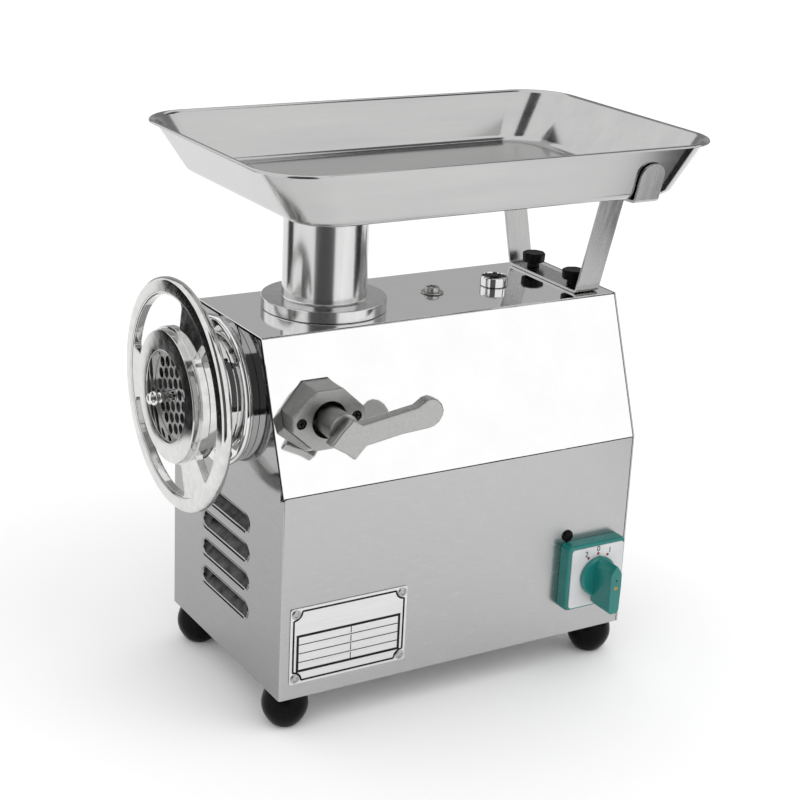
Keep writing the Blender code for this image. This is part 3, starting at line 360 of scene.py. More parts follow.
plainSteel = steel("plainSteel", (0.42, 0.42, 0.42), (0.52, 0.52, 0.51), (0.25, 0.40), 160,
                   stretch=(1, 0.1, 1))
gearSteel = steel("gearSteel", (0.34, 0.34, 0.34), (0.46, 0.46, 0.45), (0.28, 0.42), 200)
laminations = steel("laminations", (0.20, 0.15, 0.12), (0.46, 0.26, 0.13), (0.35, 0.55), 900,
                    stretch=(0.05, 1, 0.05), depth=0.0001)
screwSteel = steel("screwSteel", (0.10, 0.10, 0.10), (0.20, 0.20, 0.20), (0.25, 0.40), 400)
oxide = steel("oxide", (0.02, 0.02, 0.02), (0.05, 0.05, 0.05), (0.30, 0.45), 400)
brass = steel("brass", (0.36, 0.25, 0.08), (0.52, 0.38, 0.16), (0.20, 0.35), 300)
blackRubber = moulded("blackRubber", (0.003, 0.003, 0.003), (0.006, 0.006, 0.006), 0.24, 300, 0.00004,
                      specular=0.07)
blackPlastic = moulded("blackPlastic", (0.004, 0.004, 0.004), (0.007, 0.007, 0.007), 0.36, 500, 0.00003,
                       specular=0.1)
tealPlastic = moulded("tealPlastic", (0.004, 0.145, 0.130), (0.008, 0.180, 0.162), 0.30, 400, 0.00002, 0.15)
castIron = moulded("castIron", (0.045, 0.050, 0.055), (0.075, 0.080, 0.085), 0.55, 320, 0.0003)
motorPaint = moulded("motorPaint", (0.035, 0.045, 0.050), (0.055, 0.065, 0.070), 0.42, 260, 0.0001)
dialPrint = moulded("dialPrint", (0.58, 0.58, 0.59), (0.66, 0.66, 0.67), 0.35, 500, 0.00001)
blackInk = moulded("blackInk", (0.010, 0.010, 0.011), (0.020, 0.020, 0.021), 0.45, 600, 0.000004,
                   specular=0.1)
redInk = moulded("redInk", (0.17, 0.020, 0.014), (0.24, 0.030, 0.02), 0.45, 600, 0.000004)
# the louvre walls are pressed from the same sheet as the panels; this far darker steel is painted shade inside the
# slots
louvreShadeSteel = steel("louvreShadeSteel", (0.015, 0.015, 0.015), (0.16, 0.16, 0.16), (0.35, 0.5), 85)
platePrint = steel("platePrint", (0.74, 0.74, 0.74), (0.80, 0.80, 0.80), (0.30, 0.38), 400,
                   stretch=(1, 0.05, 1))
print("finishes are ready")

# Camera, lights and floor

shot = {"place": (1.31367, -0.80873, 0.7965), "aim": (-0.0168, 0.00965, 0.2413), "lens": 81.58, "roll": 2.76}
camera = bpy.data.objects.new("camera", bpy.data.cameras.new("camera"))
bpy.context.scene.collection.objects.link(camera)
camera.data.sensor_width = 36
camera.data.lens = shot["lens"]
camera.data.clip_end = 60
camera.location = shot["place"]
away = Vector(shot["aim"]) - Vector(shot["place"])
facing = away.to_track_quat("-Z", "Y").to_matrix() @ Matrix.Rotation(math.radians(shot["roll"]), 3, "Z")
camera.rotation_euler = facing.to_euler()
bpy.context.scene.camera = camera

studio = {"world": 1.08, "floorReach": 9.0, "key": 14.0, "keyPlace": (1.6, 0.9, 2.6), "keySize": (2.0, 2.0)}
bpy.context.scene.view_settings.view_transform = "Standard"
world = bpy.data.worlds.new("studio")
world.use_nodes = True
world.node_tree.nodes["Background"].inputs["Color"].default_value = (1, 1, 1, 1)
world.node_tree.nodes["Background"].inputs["Strength"].default_value = studio["world"]
bpy.context.scene.world = world

floorShape = bmesh.new()
bmesh.ops.create_grid(floorShape, x_segments=4, y_segments=4, size=studio["floorReach"])
floorMesh = bpy.data.meshes.new("floor")
floorShape.to_mesh(floorMesh)
floorShape.free()
floor = bpy.data.objects.new("floor", floorMesh)
bpy.context.scene.collection.objects.link(floor)
floorPaint = moulded("floorPaint", (0.95, 0.95, 0.95), (0.97, 0.97, 0.97), 0.9, 3, 0.0, 0.0, 0.0)
floorMesh.materials.append(floorPaint)


def areaLight(name, place, aim, sizes, power):
    lamp = bpy.data.lights.new(name, "AREA")
    lamp.shape = "RECTANGLE"
    lamp.size, lamp.size_y = sizes
    lamp.energy = power
    made = bpy.data.objects.new(name, lamp)
    bpy.context.scene.collection.objects.link(made)
    made.location = place
    made.rotation_euler = (Vector(aim) - Vector(place)).to_track_quat("-Z", "Y").to_euler()
    return made


keyLight = areaLight("keyLight", studio["keyPlace"], (0, 0, 0.25), studio["keySize"], studio["key"])
keyLight.visible_glossy = False


def reflectorCard(name, place, aim, sizes, grey):
    # a tinted card beside the set, which only glossy surfaces show
    shape = bmesh.new()
    bmesh.ops.create_grid(shape, x_segments=1, y_segments=1, size=0.5)
    bmesh.ops.scale(shape, vec=(sizes[0], sizes[1], 1), verts=shape.verts[:])
    mesh = bpy.data.meshes.new(name)
    shape.to_mesh(mesh)
    shape.free()
    card = bpy.data.objects.new(name, mesh)
    bpy.context.scene.collection.objects.link(card)
    card.location = place
    card.rotation_euler = (Vector(aim) - Vector(place)).to_track_quat("Z", "Y").to_euler()
    material, nodes, links = newFinish(name)
    shader = nodes["Principled BSDF"]
    shader.inputs["Base Color"].default_value = (0, 0, 0, 1)
    shader.inputs["Specular IOR Level"].default_value = 0.0
    shader.inputs["Emission Color"].default_value = (grey, grey, grey, 1)
    shader.inputs["Emission Strength"].default_value = 1.0
    mesh.materials.append(material)
    for ray in ("camera", "diffuse", "shadow", "transmission", "volume_scatter"):
        setattr(card, f"visible_{ray}", False)
    return card


def cardBetween(name, start, end, bottom, top, grey):
    # stands upright on the line between two places on the floor
    run = Vector(end) - Vector(start)
    centre = Vector(((start[0] + end[0]) / 2, (start[1] + end[1]) / 2, (bottom + top) / 2))
    facing = Vector((-run.y, run.x, 0))
    return reflectorCard(name, centre, centre + facing, (run.length, top - bottom), grey)


cards = {  # start and end on the floor, bottom, top, grey
    "cardFrontLow": ((0.40, -0.673), (0.711, -0.137), 0.004, 0.11, 0.03),
    "cardFrontHigh": ((0.40, -0.673), (0.711, -0.137), 0.11, 2.20, 0.10),
    "cardLeft": ((-0.394, -0.686), (-0.605, -0.475), 0.004, 0.42, 0.015),
    "cardRight": ((0.4405, 0.523), (0.1315, 0.658), 0.004, 0.36, 0.02),
    "cardBackLow": ((-4.6, -1.2), (1.2, 4.6), 0.004, 1.27, 0.41),
    "cardBackHigh": ((-4.6, -1.2), (1.2, 4.6), 1.27, 2.6, 0.30),
}
for name, values in cards.items():
    cardBetween(name, *values)
reflectorCard("cardAbove", (0.3, 1.6, 2.2), (0, 0, 0.3), (1.6, 1.4), 0.12)
print("the studio is lit")

# Body

axisZ = middle("ring_nut").z
feedY = middle("feed_tube").y
body = {
    "sheet": 0.0015, "bend": 0.0021, "coverBend": 0.0022, "seam": 0.0009, "inset": 0.0025,
    "slotLength": 0.092, "slotWidth": 0.0145, "slotPitch": 0.0273, "lowestSlot": 0.0565, "slotCount": 4,
    "rim": 0.0020, "louvreDepth": 0.0100, "louvreRise": 0.0036, "corner": 0.0042,
    "tubeHole": 0.0375, "fillerHole": 0.0082, "glandHole": 0.0075,
}
baseHalf = high("front_panel").x
bodyTop = high("front_panel").z
bodyLength = high("rear_panel").y
breakHeight = low("upper_cover").z
# the cover's flat top: its slope meets the break height at the base's width
topHalf = 0.063
seatRadius = 0.0585


def slotHeights():
    return [body["lowestSlot"] + number * body["slotPitch"] for number in range(body["slotCount"])]


def slotCutters(y):
    rim = 2 * body["rim"]
    return [
        stadium(body["slotLength"] + rim, body["slotWidth"] + rim, 0.02, (0, y, height))
        for height in slotHeights()
    ]


def roundedLoop(bm, halfX, halfY, corner, z, steps=12):
    # a closed loop of edges: four corners, each rounded
    verts = [bm.verts.new((x * halfX, y * halfY, z)) for x, y in ((1, 1), (-1, 1), (-1, -1), (1, -1))]
    bm.faces.new(verts)
    rounded(bm, verts, corner, steps, "VERTICES")
    face = [item for item in bm.faces if all(abs(v.co.z - z) < 1e-7 for v in item.verts)][0]
    edges = list(face.edges)
    bmesh.ops.delete(bm, geom=[face], context="FACES_ONLY")
    return edges


def louvres(name, y, inward):
    # each slot has a dished rim and a wall behind it that climbs inwards
    bm = bmesh.new()
    depth, climb = body["louvreDepth"], body["louvreRise"]
    rows = [(body["rim"], 0.00002), (0.0016, 0.00010), (0.0011, 0.00035), (0.0006, 0.0008), (0.0002, 0.0015),
            (0.0, 0.0024)]
    for height in slotHeights():
        one = bmesh.new()
        before = None
        for grow, deep in rows:
            halfZ = body["slotWidth"] / 2 + grow
            loop = roundedLoop(one, body["slotLength"] / 2 + grow, halfZ, halfZ * 0.995, deep, 8)
            if before:
                bmesh.ops.bridge_loops(one, edges=before + loop)
            before = loop
        for share in (0.35, 0.7, 1.0):
            halfZ = body["slotWidth"] / 2 - climb * share
            deep = 0.0024 + share * (depth - 0.0024)
            loop = roundedLoop(one, body["slotLength"] / 2 - climb * share, halfZ, halfZ * 0.995, deep, 8)
            for vert in {vert for edge in loop for vert in edge.verts}:
                vert.co.y += climb * share
            bmesh.ops.bridge_loops(one, edges=before + loop)
            before = loop
        bmesh.ops.solidify(one, geom=one.faces[:], thickness=0.0006)
        flip = Matrix(((1, 0, 0, 0), (0, 0, inward, y), (0, 1, 0, height), (0, 0, 0, 1)))
        bmesh.ops.transform(one, matrix=flip, verts=one.verts[:])
        added(bm, tidyShell(one))
    made = piece(name, bm, louvreShadeSteel, "body", smooth=60)
    made.data.materials.append(mirrorSteel)
    made.data.materials.append(shadedFrontSteel)
    # slot walls take the dark louvre steel as painted shade; the right ends of the rims take the mirror steel as a
    # painted highlight; rim faces by the panel take the darker front steel, the front's painted shade
    for polygon in made.data.polygons:
        across = abs(polygon.center.y - zero.y - y)
        end = polygon.center.x - zero.x > body["slotLength"] / 2 - 0.0060
        polygon.material_index = 2 if across < 0.0012 else 1 if end and across < 0.0040 else 0
    return made


def frontWrap():
    # front and both lower sides are one sheet, folded at the upright corners
    base, inset, sideTop = baseHalf, body["inset"], breakHeight - body["seam"]
    slopeStart, slopeEnd = base - inset, topHalf - inset
    bm = bmesh.new()
    outline = [
        (-base, 0), (base, 0), (base, sideTop), (slopeStart, sideTop), (slopeEnd, bodyTop - inset),
        (-slopeEnd, bodyTop - inset), (-slopeStart, sideTop), (-base, sideTop),
    ]
    verts = [bm.verts.new((x, 0, z)) for x, z in outline]
    bm.faces.new(verts)
    corners = [edge for edge in bm.edges if all(abs(abs(v.co.x) - base) < 1e-6 for v in edge.verts)
               and abs(edge.verts[0].co.z - edge.verts[1].co.z) > 0.1]
    pulled(bm, corners, (0, bodyLength - 0.0022, 0))
    bmesh.ops.recalc_face_normals(bm, faces=bm.faces[:])
    corners = [edge for edge in bm.edges if len(edge.link_faces) == 2]
    rounded(bm, corners, body["bend"], 5)
    bmesh.ops.recalc_face_normals(bm, faces=bm.faces[:])
    if sum(face.normal.y * face.calc_area() for face in bm.faces) > 0:
        bmesh.ops.reverse_faces(bm, faces=bm.faces[:])
    bmesh.ops.solidify(bm, geom=bm.faces[:], thickness=body["sheet"])
    headHole = rod(seatRadius, -0.02, 0.02, "Y", (0, 0, axisZ))
    corner = body["corner"]
    nicks = []
    for side in (-1, 1):
        nick = block((0.012, corner * 2, corner * 2), (side * base, 0, sideTop))
        round = lathe([(0, -0.007), (corner, -0.007), (corner, 0.007), (0, 0.007)], "X",
                      (side * base, corner, sideTop - corner), 48)
        nicks.append(carved(nick, [round]))
    bm = carved(bm, [headHole, *slotCutters(0), *nicks])
    # faces that look forwards take the darker front steel, painted shade on the front of the sheet
    return piece("frontAndSides", bm, sideSteel, "body",
                 ("front_panel", "right_side_panel", "left_side_panel"), second=shadedFrontSteel)


def rearPanel():
    base = baseHalf
    outline = [(-base, 0), (base, 0), (base, breakHeight), (topHalf, bodyTop), (-topHalf, bodyTop),
               (-base, breakHeight)]
    bm = slab(outline, body["sheet"], "Y", (0, bodyLength - body["sheet"] / 2, 0))
    gland = middle("cable_gland")
    tools = slotCutters(bodyLength)
    tools.append(rod(body["glandHole"], -0.02, 0.02, "Y", (gland.x, bodyLength, gland.z), 48))
    bm = carved(bm, tools)
    return piece("rearSheet", bm, sideSteel, "body", ("rear_panel",))


def upperCover():
    # one polished sheet folded over the top
    bm = bmesh.new()
    section = [(baseHalf, breakHeight), (topHalf, bodyTop), (-topHalf, bodyTop), (-baseHalf, breakHeight)]
    verts = [bm.verts.new((x, 0.0001, z)) for x, z in section]
    edges = [bm.edges.new(pair) for pair in zip(verts, verts[1:])]
    pulled(bm, edges, (0, bodyLength - 0.002, 0))
    bmesh.ops.recalc_face_normals(bm, faces=bm.faces[:])
    if sum(face.normal.z for face in bm.faces) < 0:
        bmesh.ops.reverse_faces(bm, faces=bm.faces[:])
    folds = [edge for edge in bm.edges if len(edge.link_faces) == 2]
    rounded(bm, folds, body["coverBend"], 5)
    bmesh.ops.solidify(bm, geom=bm.faces[:], thickness=body["sheet"])
    filler = middle("oil_filler_cap")
    tools = [
        rod(body["tubeHole"], -0.01, 0.01, "Z", (0, feedY, bodyTop)),
        rod(body["fillerHole"], -0.01, 0.01, "Z", (0, filler.y, bodyTop), 48),
        bossShape(0.0004, 0.05, low("clamp_boss").x + 0.01),
    ]
    bm = carved(bm, tools)
    softened(bm, 0.0003, 1, 60)
    return piece("foldedCover", bm, coverSteel, "body", ("upper_cover",), second=oxide)


# Clamp boss and lever

clampY, clampZ = middle("clamp_stud").y, middle("clamp_stud").z
boss = {
    "halfWidth": 0.0335, "halfHeight": 0.0260, "blunt": 0.25, "shoulder": 0.36, "bore": 0.016,
    "edge": 0.0011, "screwSpread": 0.0512, "sink": 0.0046,
}


def bossOutline(grow=0.0):
    wide, tall = boss["halfWidth"] + grow, boss["halfHeight"] + grow
    blunt, shoulder = tall * boss["blunt"], wide * boss["shoulder"]
    half = [(wide, -blunt), (wide, blunt), (shoulder, tall)]
    return half + [(-y, z) for y, z in reversed(half)] + [(-shoulder, -tall), (shoulder, -tall)]


def bossShape(grow, depth, start):
    return slab(bossOutline(grow), depth, "X", (start + depth / 2, clampY, clampZ))


def clampBoss():
    start, end = low("clamp_boss").x, high("clamp_boss").x
    bm = bossShape(0, end - start, start)
    softened(bm, boss["edge"], 3, 20)
    bore = rod(boss["bore"], -0.09, 0.02, "X", (end, clampY, clampZ))
    sinks = [
        rod(boss["sink"], -0.004, 0.01, "X", (end, clampY + side * boss["screwSpread"] / 2, clampZ), 40)
        for side in (-1, 1)
    ]
    bm = carved(bm, [bore, *sinks])
    softened(bm, 0.0005, 2, 60, lambda edge: max(v.co.x for v in edge.verts) > end - 0.0003)
    piece("clampBoss", bm, castAlloy, "body", ("clamp_boss",))
    for place, side in (("Front", -1), ("Rear", 1)):
        name, node = "bossScrew" + place, "boss_screw_" + place.lower()
        at = (end, clampY + side * boss["screwSpread"] / 2, clampZ)
        head = lathe([(0, -0.0035), (0.0040, -0.0035), (0.0040, -0.0012), (0.0034, -0.0006), (0, -0.0004)],
                     "X", at, 32)
        key = block((0.003, 0.0012, 0.0056), (end - 0.0008, at[1], at[2]))
        key2 = block((0.003, 0.0056, 0.0012), (end - 0.0008, at[1], at[2]))
        piece(name, carved(head, [key, key2]), oxide, "body", (node,))


lever = {
    "outline": [(-0.0166, -0.0090), (-0.0010, -0.0185), (0.0060, -0.0245), (0.0163, -0.0136),
                (0.0500, -0.0085), (0.0745, -0.0070), (0.0802, -0.0060), (0.0853, -0.0025), (0.0884, 0.0028),
                (0.0888, 0.0072), (0.0870, 0.0125), (0.0830, 0.0167), (0.0775, 0.0188), (0.0720, 0.0178),
                (0.0643, 0.0125), (0.0125, 0.0050), (0.0030, 0.0110),
                (-0.0060, 0.0030)],
    "edge": 0.0016, "hub": 0.0125, "thickness": 0.012,
}


def clampLever():
    far = high("clamp_lever").x
    near = low("clamp_lever").x
    thick = lever["thickness"]
    bm = slab(lever["outline"], thick, "X", (far - thick / 2, clampY, clampZ))
    softened(bm, lever["edge"], 3, 50)
    hubEnd = far - thick * 0.8
    hub = lathe([(0, near), (lever["hub"] - 0.001, near), (lever["hub"], near + 0.001),
                 (lever["hub"] * 1.05, hubEnd), (0, hubEnd)], "X", (0, clampY, clampZ), 64)
    bm = carved(bm, [hub], "UNION")
    piece("clampLever", bm, leverAlloy, "clamp", ("clamp_lever",))


# Grinding head

head = {
    "flangeFront": -0.014, "flangeRear": -0.0075, "flangeRadius": 0.0655, "neck": 0.0625, "bore": 0.0505,
    "barrelRadius": 0.050, "barrelBore": 0.0413, "core": 0.0580, "studHole": 0.0075, "inlet": 0.035,
    "shaftHole": 0.016,
}


def headSeat():
    front, rear = head["flangeFront"], head["flangeRear"]
    radius, bore = head["flangeRadius"], head["bore"]
    length = high("head_seat").y
    profile = [
        (bore, front + 0.0006), (bore + 0.0006, front), (radius - 0.004, front),
        (radius - 0.0022, front + 0.0004),
        (radius - 0.0008, front + 0.0014), (radius, front + 0.0030), (radius, front + 0.0042),
        (radius - 0.0006, front + 0.0052), (radius - 0.0016, front + 0.0056), (radius - 0.0016, front + 0.0062),
        (radius - 0.0006, rear - 0.0001), (radius - 0.0014, rear + 0.0012),
        (head["neck"], rear + 0.0016), (head["neck"], -clear), (head["core"], -clear),
        (head["core"], length), (bore, length),
    ]
    bm = lathe(profile, "Y", (0, 0, axisZ), 128, joined=True)
    tools = [
        rod(body["tubeHole"], 0, 0.1, "Z", (0, feedY, axisZ)),
        rod(head["studHole"], 0, 0.1, "X", (0, clampY, clampZ), 32),
    ]
    piece("headSeat", carved(bm, tools), mirrorSteel, "body", ("head_seat",))
    for name, node in (("flangeScrewUpper", "flange_screw_upper"), ("flangeScrewLower", "flange_screw_lower")):
        at = middle(node)
        half = size(node).x / 2
        top = low(node).y
        dome = lathe([(0, top), (half * 0.6, top + 0.0002), (half, top + 0.0009), (half, high(node).y),
                      (0, high(node).y)], "Y", (at.x, 0, at.z), 32)
        piece(name, dome, screwSteel, "body", (node,))


def barrelPiece():
    front, rear = low("barrel").y, high("barrel").y
    outer, bore = head["barrelRadius"], head["barrelBore"]
    profile = [
        (bore, front + 0.0005), (bore + 0.0005, front), (outer - 0.0008, front), (outer, front + 0.0008),
        (outer, front + 0.0205), (outer - 0.0007, front + 0.0212), (outer - 0.0007, front + 0.0224),
        (outer, front + 0.0231), (outer, rear),
        (head["shaftHole"], rear), (head["shaftHole"], rear - 0.005), (bore, rear - 0.005),
    ]
    bm = lathe(profile, "Y", (0, 0, axisZ), 128, joined=True)
    inlet = rod(head["inlet"], 0, 0.1, "Z", (0, feedY, axisZ))
    piece("barrel", carved(bm, [inlet]), mirrorSteel, "body", ("barrel",))


wheel = {
    "radius": 0.1003, "rimWidth": 0.0130, "rimFront": -0.0512, "rimRear": -0.0415, "web": 0.0070,
    "webCentre": -0.0468, "hub": 0.0570, "mouth": 0.0390, "hubFront": -0.0575, "hubRear": -0.0330,
    "bore": 0.0505, "lip": -0.0493, "spokes": (63.0, 183.0, 303.0), "halfSpoke": 16.0, "corner": 0.013,
}


def handWheel():
    inner = wheel["radius"] - wheel["rimWidth"]
    outer, rimFront, rimRear = wheel["radius"], wheel["rimFront"], wheel["rimRear"]
    webFront, webRear = wheel["webCentre"] - wheel["web"] / 2, wheel["webCentre"] + wheel["web"] / 2
    hub, front, mouth = wheel["hub"], wheel["hubFront"], wheel["mouth"]
    profile = [
        (mouth, wheel["lip"]), (mouth, front + 0.0010), (mouth + 0.0003, front + 0.0003),
        (mouth + 0.0010, front),
        (hub - 0.0012, front), (hub - 0.0004, front + 0.0003), (hub, front + 0.0012),
        (hub, webFront - 0.0010), (hub + 0.0003, webFront - 0.0003), (hub + 0.0010, webFront),
        (inner - 0.0004, webFront), (inner, webFront - 0.0003), (inner + 0.0003, rimFront + 0.0002),
        (inner + 0.0008, rimFront), (outer - 0.0030, rimFront),
        (outer - 0.0014, rimFront + 0.0006), (outer - 0.0004, rimFront + 0.0018), (outer, rimFront + 0.0036),
        (outer, rimRear - 0.0040), (outer - 0.0008, rimRear - 0.0018), (outer - 0.0026, rimRear - 0.0004),
        (outer - 0.0042, rimRear), (inner + 0.0010, rimRear), (inner, rimRear - 0.0010),
        (inner, webRear + 0.0008), (inner - 0.0008, webRear), (hub + 0.0014, webRear),
        (hub, webRear + 0.0014), (hub, wheel["hubRear"] - 0.0012),
        (hub - 0.0012, wheel["hubRear"]), (wheel["bore"] + 0.0006, wheel["hubRear"]),
        (wheel["bore"], wheel["hubRear"] - 0.0006), (wheel["bore"], wheel["lip"]),
    ]
    bm = lathe(profile, "Y", (0, 0, axisZ), 144, joined=True)
    tools = []
    sweep = 120 - 2 * wheel["halfSpoke"]
    for spoke in wheel["spokes"]:
        tool = bmesh.new()
        start = [tool.verts.new((radius, 0, 0)) for radius in (hub + 0.0022, inner - 0.0018)]
        edge = tool.edges.new(start)
        turned(tool, -(spoke + wheel["halfSpoke"]), "Y")
        bmesh.ops.spin(tool, geom=[*start, edge], cent=(0, 0, 0), axis=(0, -1, 0),
                       angle=math.radians(sweep), steps=28)
        pulled(tool, tool.faces[:], (0, 0.02, 0))
        tidyShell(tool)
        corners = []
        for edge in tool.edges:
            along = abs(edge.verts[0].co.y - edge.verts[1].co.y) > 0.01
            if along and len(edge.link_faces) == 2 and edge.calc_face_angle(0) > math.radians(60):
                corners.append(edge)
        rounded(tool, corners, wheel["corner"], 8, clamp=True)
        tools.append(moved(tool, (0, wheel["webCentre"] - 0.01, axisZ)))
    bm = carved(bm, tools)
    radial = lambda edge: abs(math.hypot(edge.verts[0].co.x, edge.verts[0].co.z - axisZ)) > hub
    softened(bm, 0.0009, 3, 70, radial)
    piece("handWheel", bm, wheelSteel, "wheel", ("ring_nut",))


plate = {
    "thickness": 0.008, "radius": 0.0410, "hole": 0.0045, "pitch": 0.0111, "turn": 17, "solid": 0.012,
    "pinHole": 0.0052,
}


def perforatedPlate():
    # the plate is a flat curve with its holes, thickened once it is a mesh
    curve = bpy.data.curves.new("plateOutline", "CURVE")
    curve.dimensions = "2D"
    curve.fill_mode = "BOTH"
    curve.extrude = plate["thickness"] / 2

    def ring(radius, steps, x=0.0, z=0.0):
        spline = curve.splines.new("POLY")
        spline.points.add(steps - 1)
        for number, point in enumerate(spline.points):
            angle = 2 * math.pi * number / steps
            point.co = (x + radius * math.cos(angle), z + radius * math.sin(angle), 0, 1)
        spline.use_cyclic_u = True

    ring(plate["radius"], 96)
    ring(plate["pinHole"], 32)
    for row in range(-4, 5):
        for column in range(-4, 5):
            x = (column + 0.5 * (row % 2)) * plate["pitch"]
            z = row * plate["pitch"] * math.sqrt(0.75)
            away = math.hypot(x, z)
            if plate["solid"] - plate["hole"] < away < plate["radius"] - plate["hole"] - 0.002:
                turn = math.radians(plate["turn"])
                ring(plate["hole"], 24, x * math.cos(turn) - z * math.sin(turn),
                     x * math.sin(turn) + z * math.cos(turn))
    flat = bpy.data.objects.new("plateOutline", curve)
    bpy.context.scene.collection.objects.link(flat)
    bm = shapeOf(flat)
    bpy.data.objects.remove(flat)
    bpy.data.curves.remove(curve)
    tidyShell(bm, 0.00001)
    bmesh.ops.dissolve_limit(bm, angle_limit=math.radians(1), verts=bm.verts[:], edges=bm.edges[:])
    turned(bm, 90, "X")
    moved(bm, (0, middle("perforated_plate").y, axisZ))
    softened(bm, 0.0003, 1, 60)
    piece("mincerPlate", bm, plainSteel, "body", ("perforated_plate",))


def centrePin():
    tip, rear = low("centre_pin").y, high("centre_pin").y
    profile = [
        (0, tip), (0.0030, tip), (0.0042, tip + 0.0007), (0.0046, tip + 0.0016), (0.0046, tip + 0.0022),
        (0.0036, tip + 0.0028), (0.0036, tip + 0.0036), (0.0056, tip + 0.0042), (0.0061, tip + 0.0050),
        (0.0061, tip + 0.0072), (0.0054, tip + 0.0080), (0.0036, tip + 0.0084), (0.0036, tip + 0.0096),
        (0.0044, tip + 0.0102), (0.0047, tip + 0.0112), (0.0047, rear), (0, rear),
    ]
    piece("centrePin", lathe(profile, "Y", (0, 0, axisZ), 48), mirrorSteel, "feed", ("centre_pin",))


# Feed tube and tray

tube = {"radius": 0.037, "wall": 0.002, "flange": 0.0547, "flangeHeight": 0.0103, "bead": 0.0016}


def feedTube():
    foot, top = low("feed_tube").z, high("feed_tube").z
    seat = bodyTop + clear
    disc = seat + tube["flangeHeight"]
    outer, inner, flange, bead = tube["radius"], tube["radius"] - tube["wall"], tube["flange"], tube["bead"]
    profile = [
        (inner, foot), (outer, foot), (outer, seat), (flange - 0.0006, seat), (flange, seat + 0.0006),
        (flange, disc - 0.0012), (flange - 0.0004, disc - 0.0004), (flange - 0.0014, disc),
        (outer + bead, disc), (outer + bead * 0.7, disc + bead * 0.2), (outer + bead * 0.2, disc + bead * 0.7),
        (outer, disc + bead), (outer, top), (inner, top),
    ]
    piece("feedTube", lathe(profile, "Z", (0, feedY, 0), 128, joined=True), tubeSteel, "tube",
          ("feed_tube",))


tray = {
    "sheet": 0.0012, "lip": 0.0062, "rimCorner": 0.047, "floorCorner": 0.032, "sideSlope": 0.0122,
    "endSlope": 0.031, "fillet": 0.0055, "drop": 0.0036, "throat": 0.0334, "collar": 0.0333,
}


def trayPan():
    lowest, highest = low("tray"), high("tray")
    halfX, halfY = (highest.x - lowest.x) / 2, (highest.y - lowest.y) / 2
    floorZ, rimZ = lowest.z + tray["sheet"], highest.z
    wallX, wallY = halfX - tray["lip"], halfY - tray["lip"]
    fillet, sheet = tray["fillet"], tray["sheet"]
    floorX, floorY = wallX - tray["sideSlope"], wallY - tray["endSlope"]
    rise = rimZ - sheet - floorZ

    def wallAt(height):
        share = height / rise
        return (floorX + share * (wallX - floorX), floorY + share * (wallY - floorY),
                tray["floorCorner"] + share * (tray["rimCorner"] - tray["lip"] - tray["floorCorner"]))

    rows = []
    for angle in (0, 22, 45, 68):
        turn = math.radians(angle)
        inset = fillet * (1 - math.sin(turn))
        x, y, corner = wallAt(fillet * (1 - math.cos(turn)))
        rows.append((x - inset, y - inset * 1.2, corner - inset * 0.6,
                     floorZ + fillet * (1 - math.cos(turn)) * 0.9))
    x, y, corner = wallAt(fillet)
    rows.append((x, y, corner, floorZ + fillet))
    x, y, corner = wallAt(rise - 0.0030)
    rows.append((x, y, corner, rimZ - sheet - 0.0030 + 0.0004))
    edge = tray["rimCorner"]
    rows.append((wallX + 0.0007, wallY + 0.0010, edge - tray["lip"] + 0.0006, rimZ - sheet - 0.0010))
    rows.append((wallX + 0.0022, wallY + 0.0026, edge - tray["lip"] + 0.0022, rimZ - sheet - 0.0002))
    out = halfX - sheet
    outY = halfY - sheet
    rows.append((out - 0.0016, outY - 0.0016, edge - sheet - 0.0016, rimZ - sheet))
    rows.append((out - 0.0005, outY - 0.0005, edge - sheet - 0.0005, rimZ - sheet - 0.0006))
    rows.append((out, outY, edge - sheet, rimZ - sheet - 0.0018))
    rows.append((out - 0.0002, outY - 0.0002, edge - sheet - 0.0002, rimZ - tray["drop"]))
    bm = bmesh.new()
    before = None
    for rowX, rowY, corner, z in rows:
        loop = roundedLoop(bm, rowX, rowY, corner, z)
        if before:
            bmesh.ops.bridge_loops(bm, edges=before + loop)
        else:
            bottom = loop
        before = loop
    bmesh.ops.contextual_create(bm, geom=bottom)
    bmesh.ops.recalc_face_normals(bm, faces=bm.faces[:])
    middleFace = max(bm.faces, key=lambda face: face.calc_area())
    if middleFace.normal.z < 0:
        bmesh.ops.reverse_faces(bm, faces=bm.faces[:])
    bmesh.ops.solidify(bm, geom=bm.faces[:], thickness=sheet)
    moved(bm, (0, (lowest.y + highest.y) / 2, 0))
    throat = rod(tray["throat"], -0.02, 0.02, "Z", (0, feedY, floorZ))
    bm = carved(bm, [throat])
    piece("loadingTray", bm, traySteel, "pan", ("tray",), smooth=45)
    collarLow, collarHigh = low("tray_collar"), high("tray_collar")
    inner, outer = tray["collar"], (collarHigh.x - collarLow.x) / 2
    profile = [(inner, collarLow.z), (outer - 0.0003, collarLow.z), (outer, collarLow.z + 0.0004),
               (outer, collarHigh.z), (inner, collarHigh.z)]
    piece("trayCollar", lathe(profile, "Z", (0, feedY, 0), 96, joined=True), traySteel, "pan",
          ("tray_collar",))


# Bracket and its knobs

bracket = {"width": 0.025, "thick": 0.0025, "base": 0.106, "ledge": 0.044, "tab": 0.034, "bend": 0.0030}


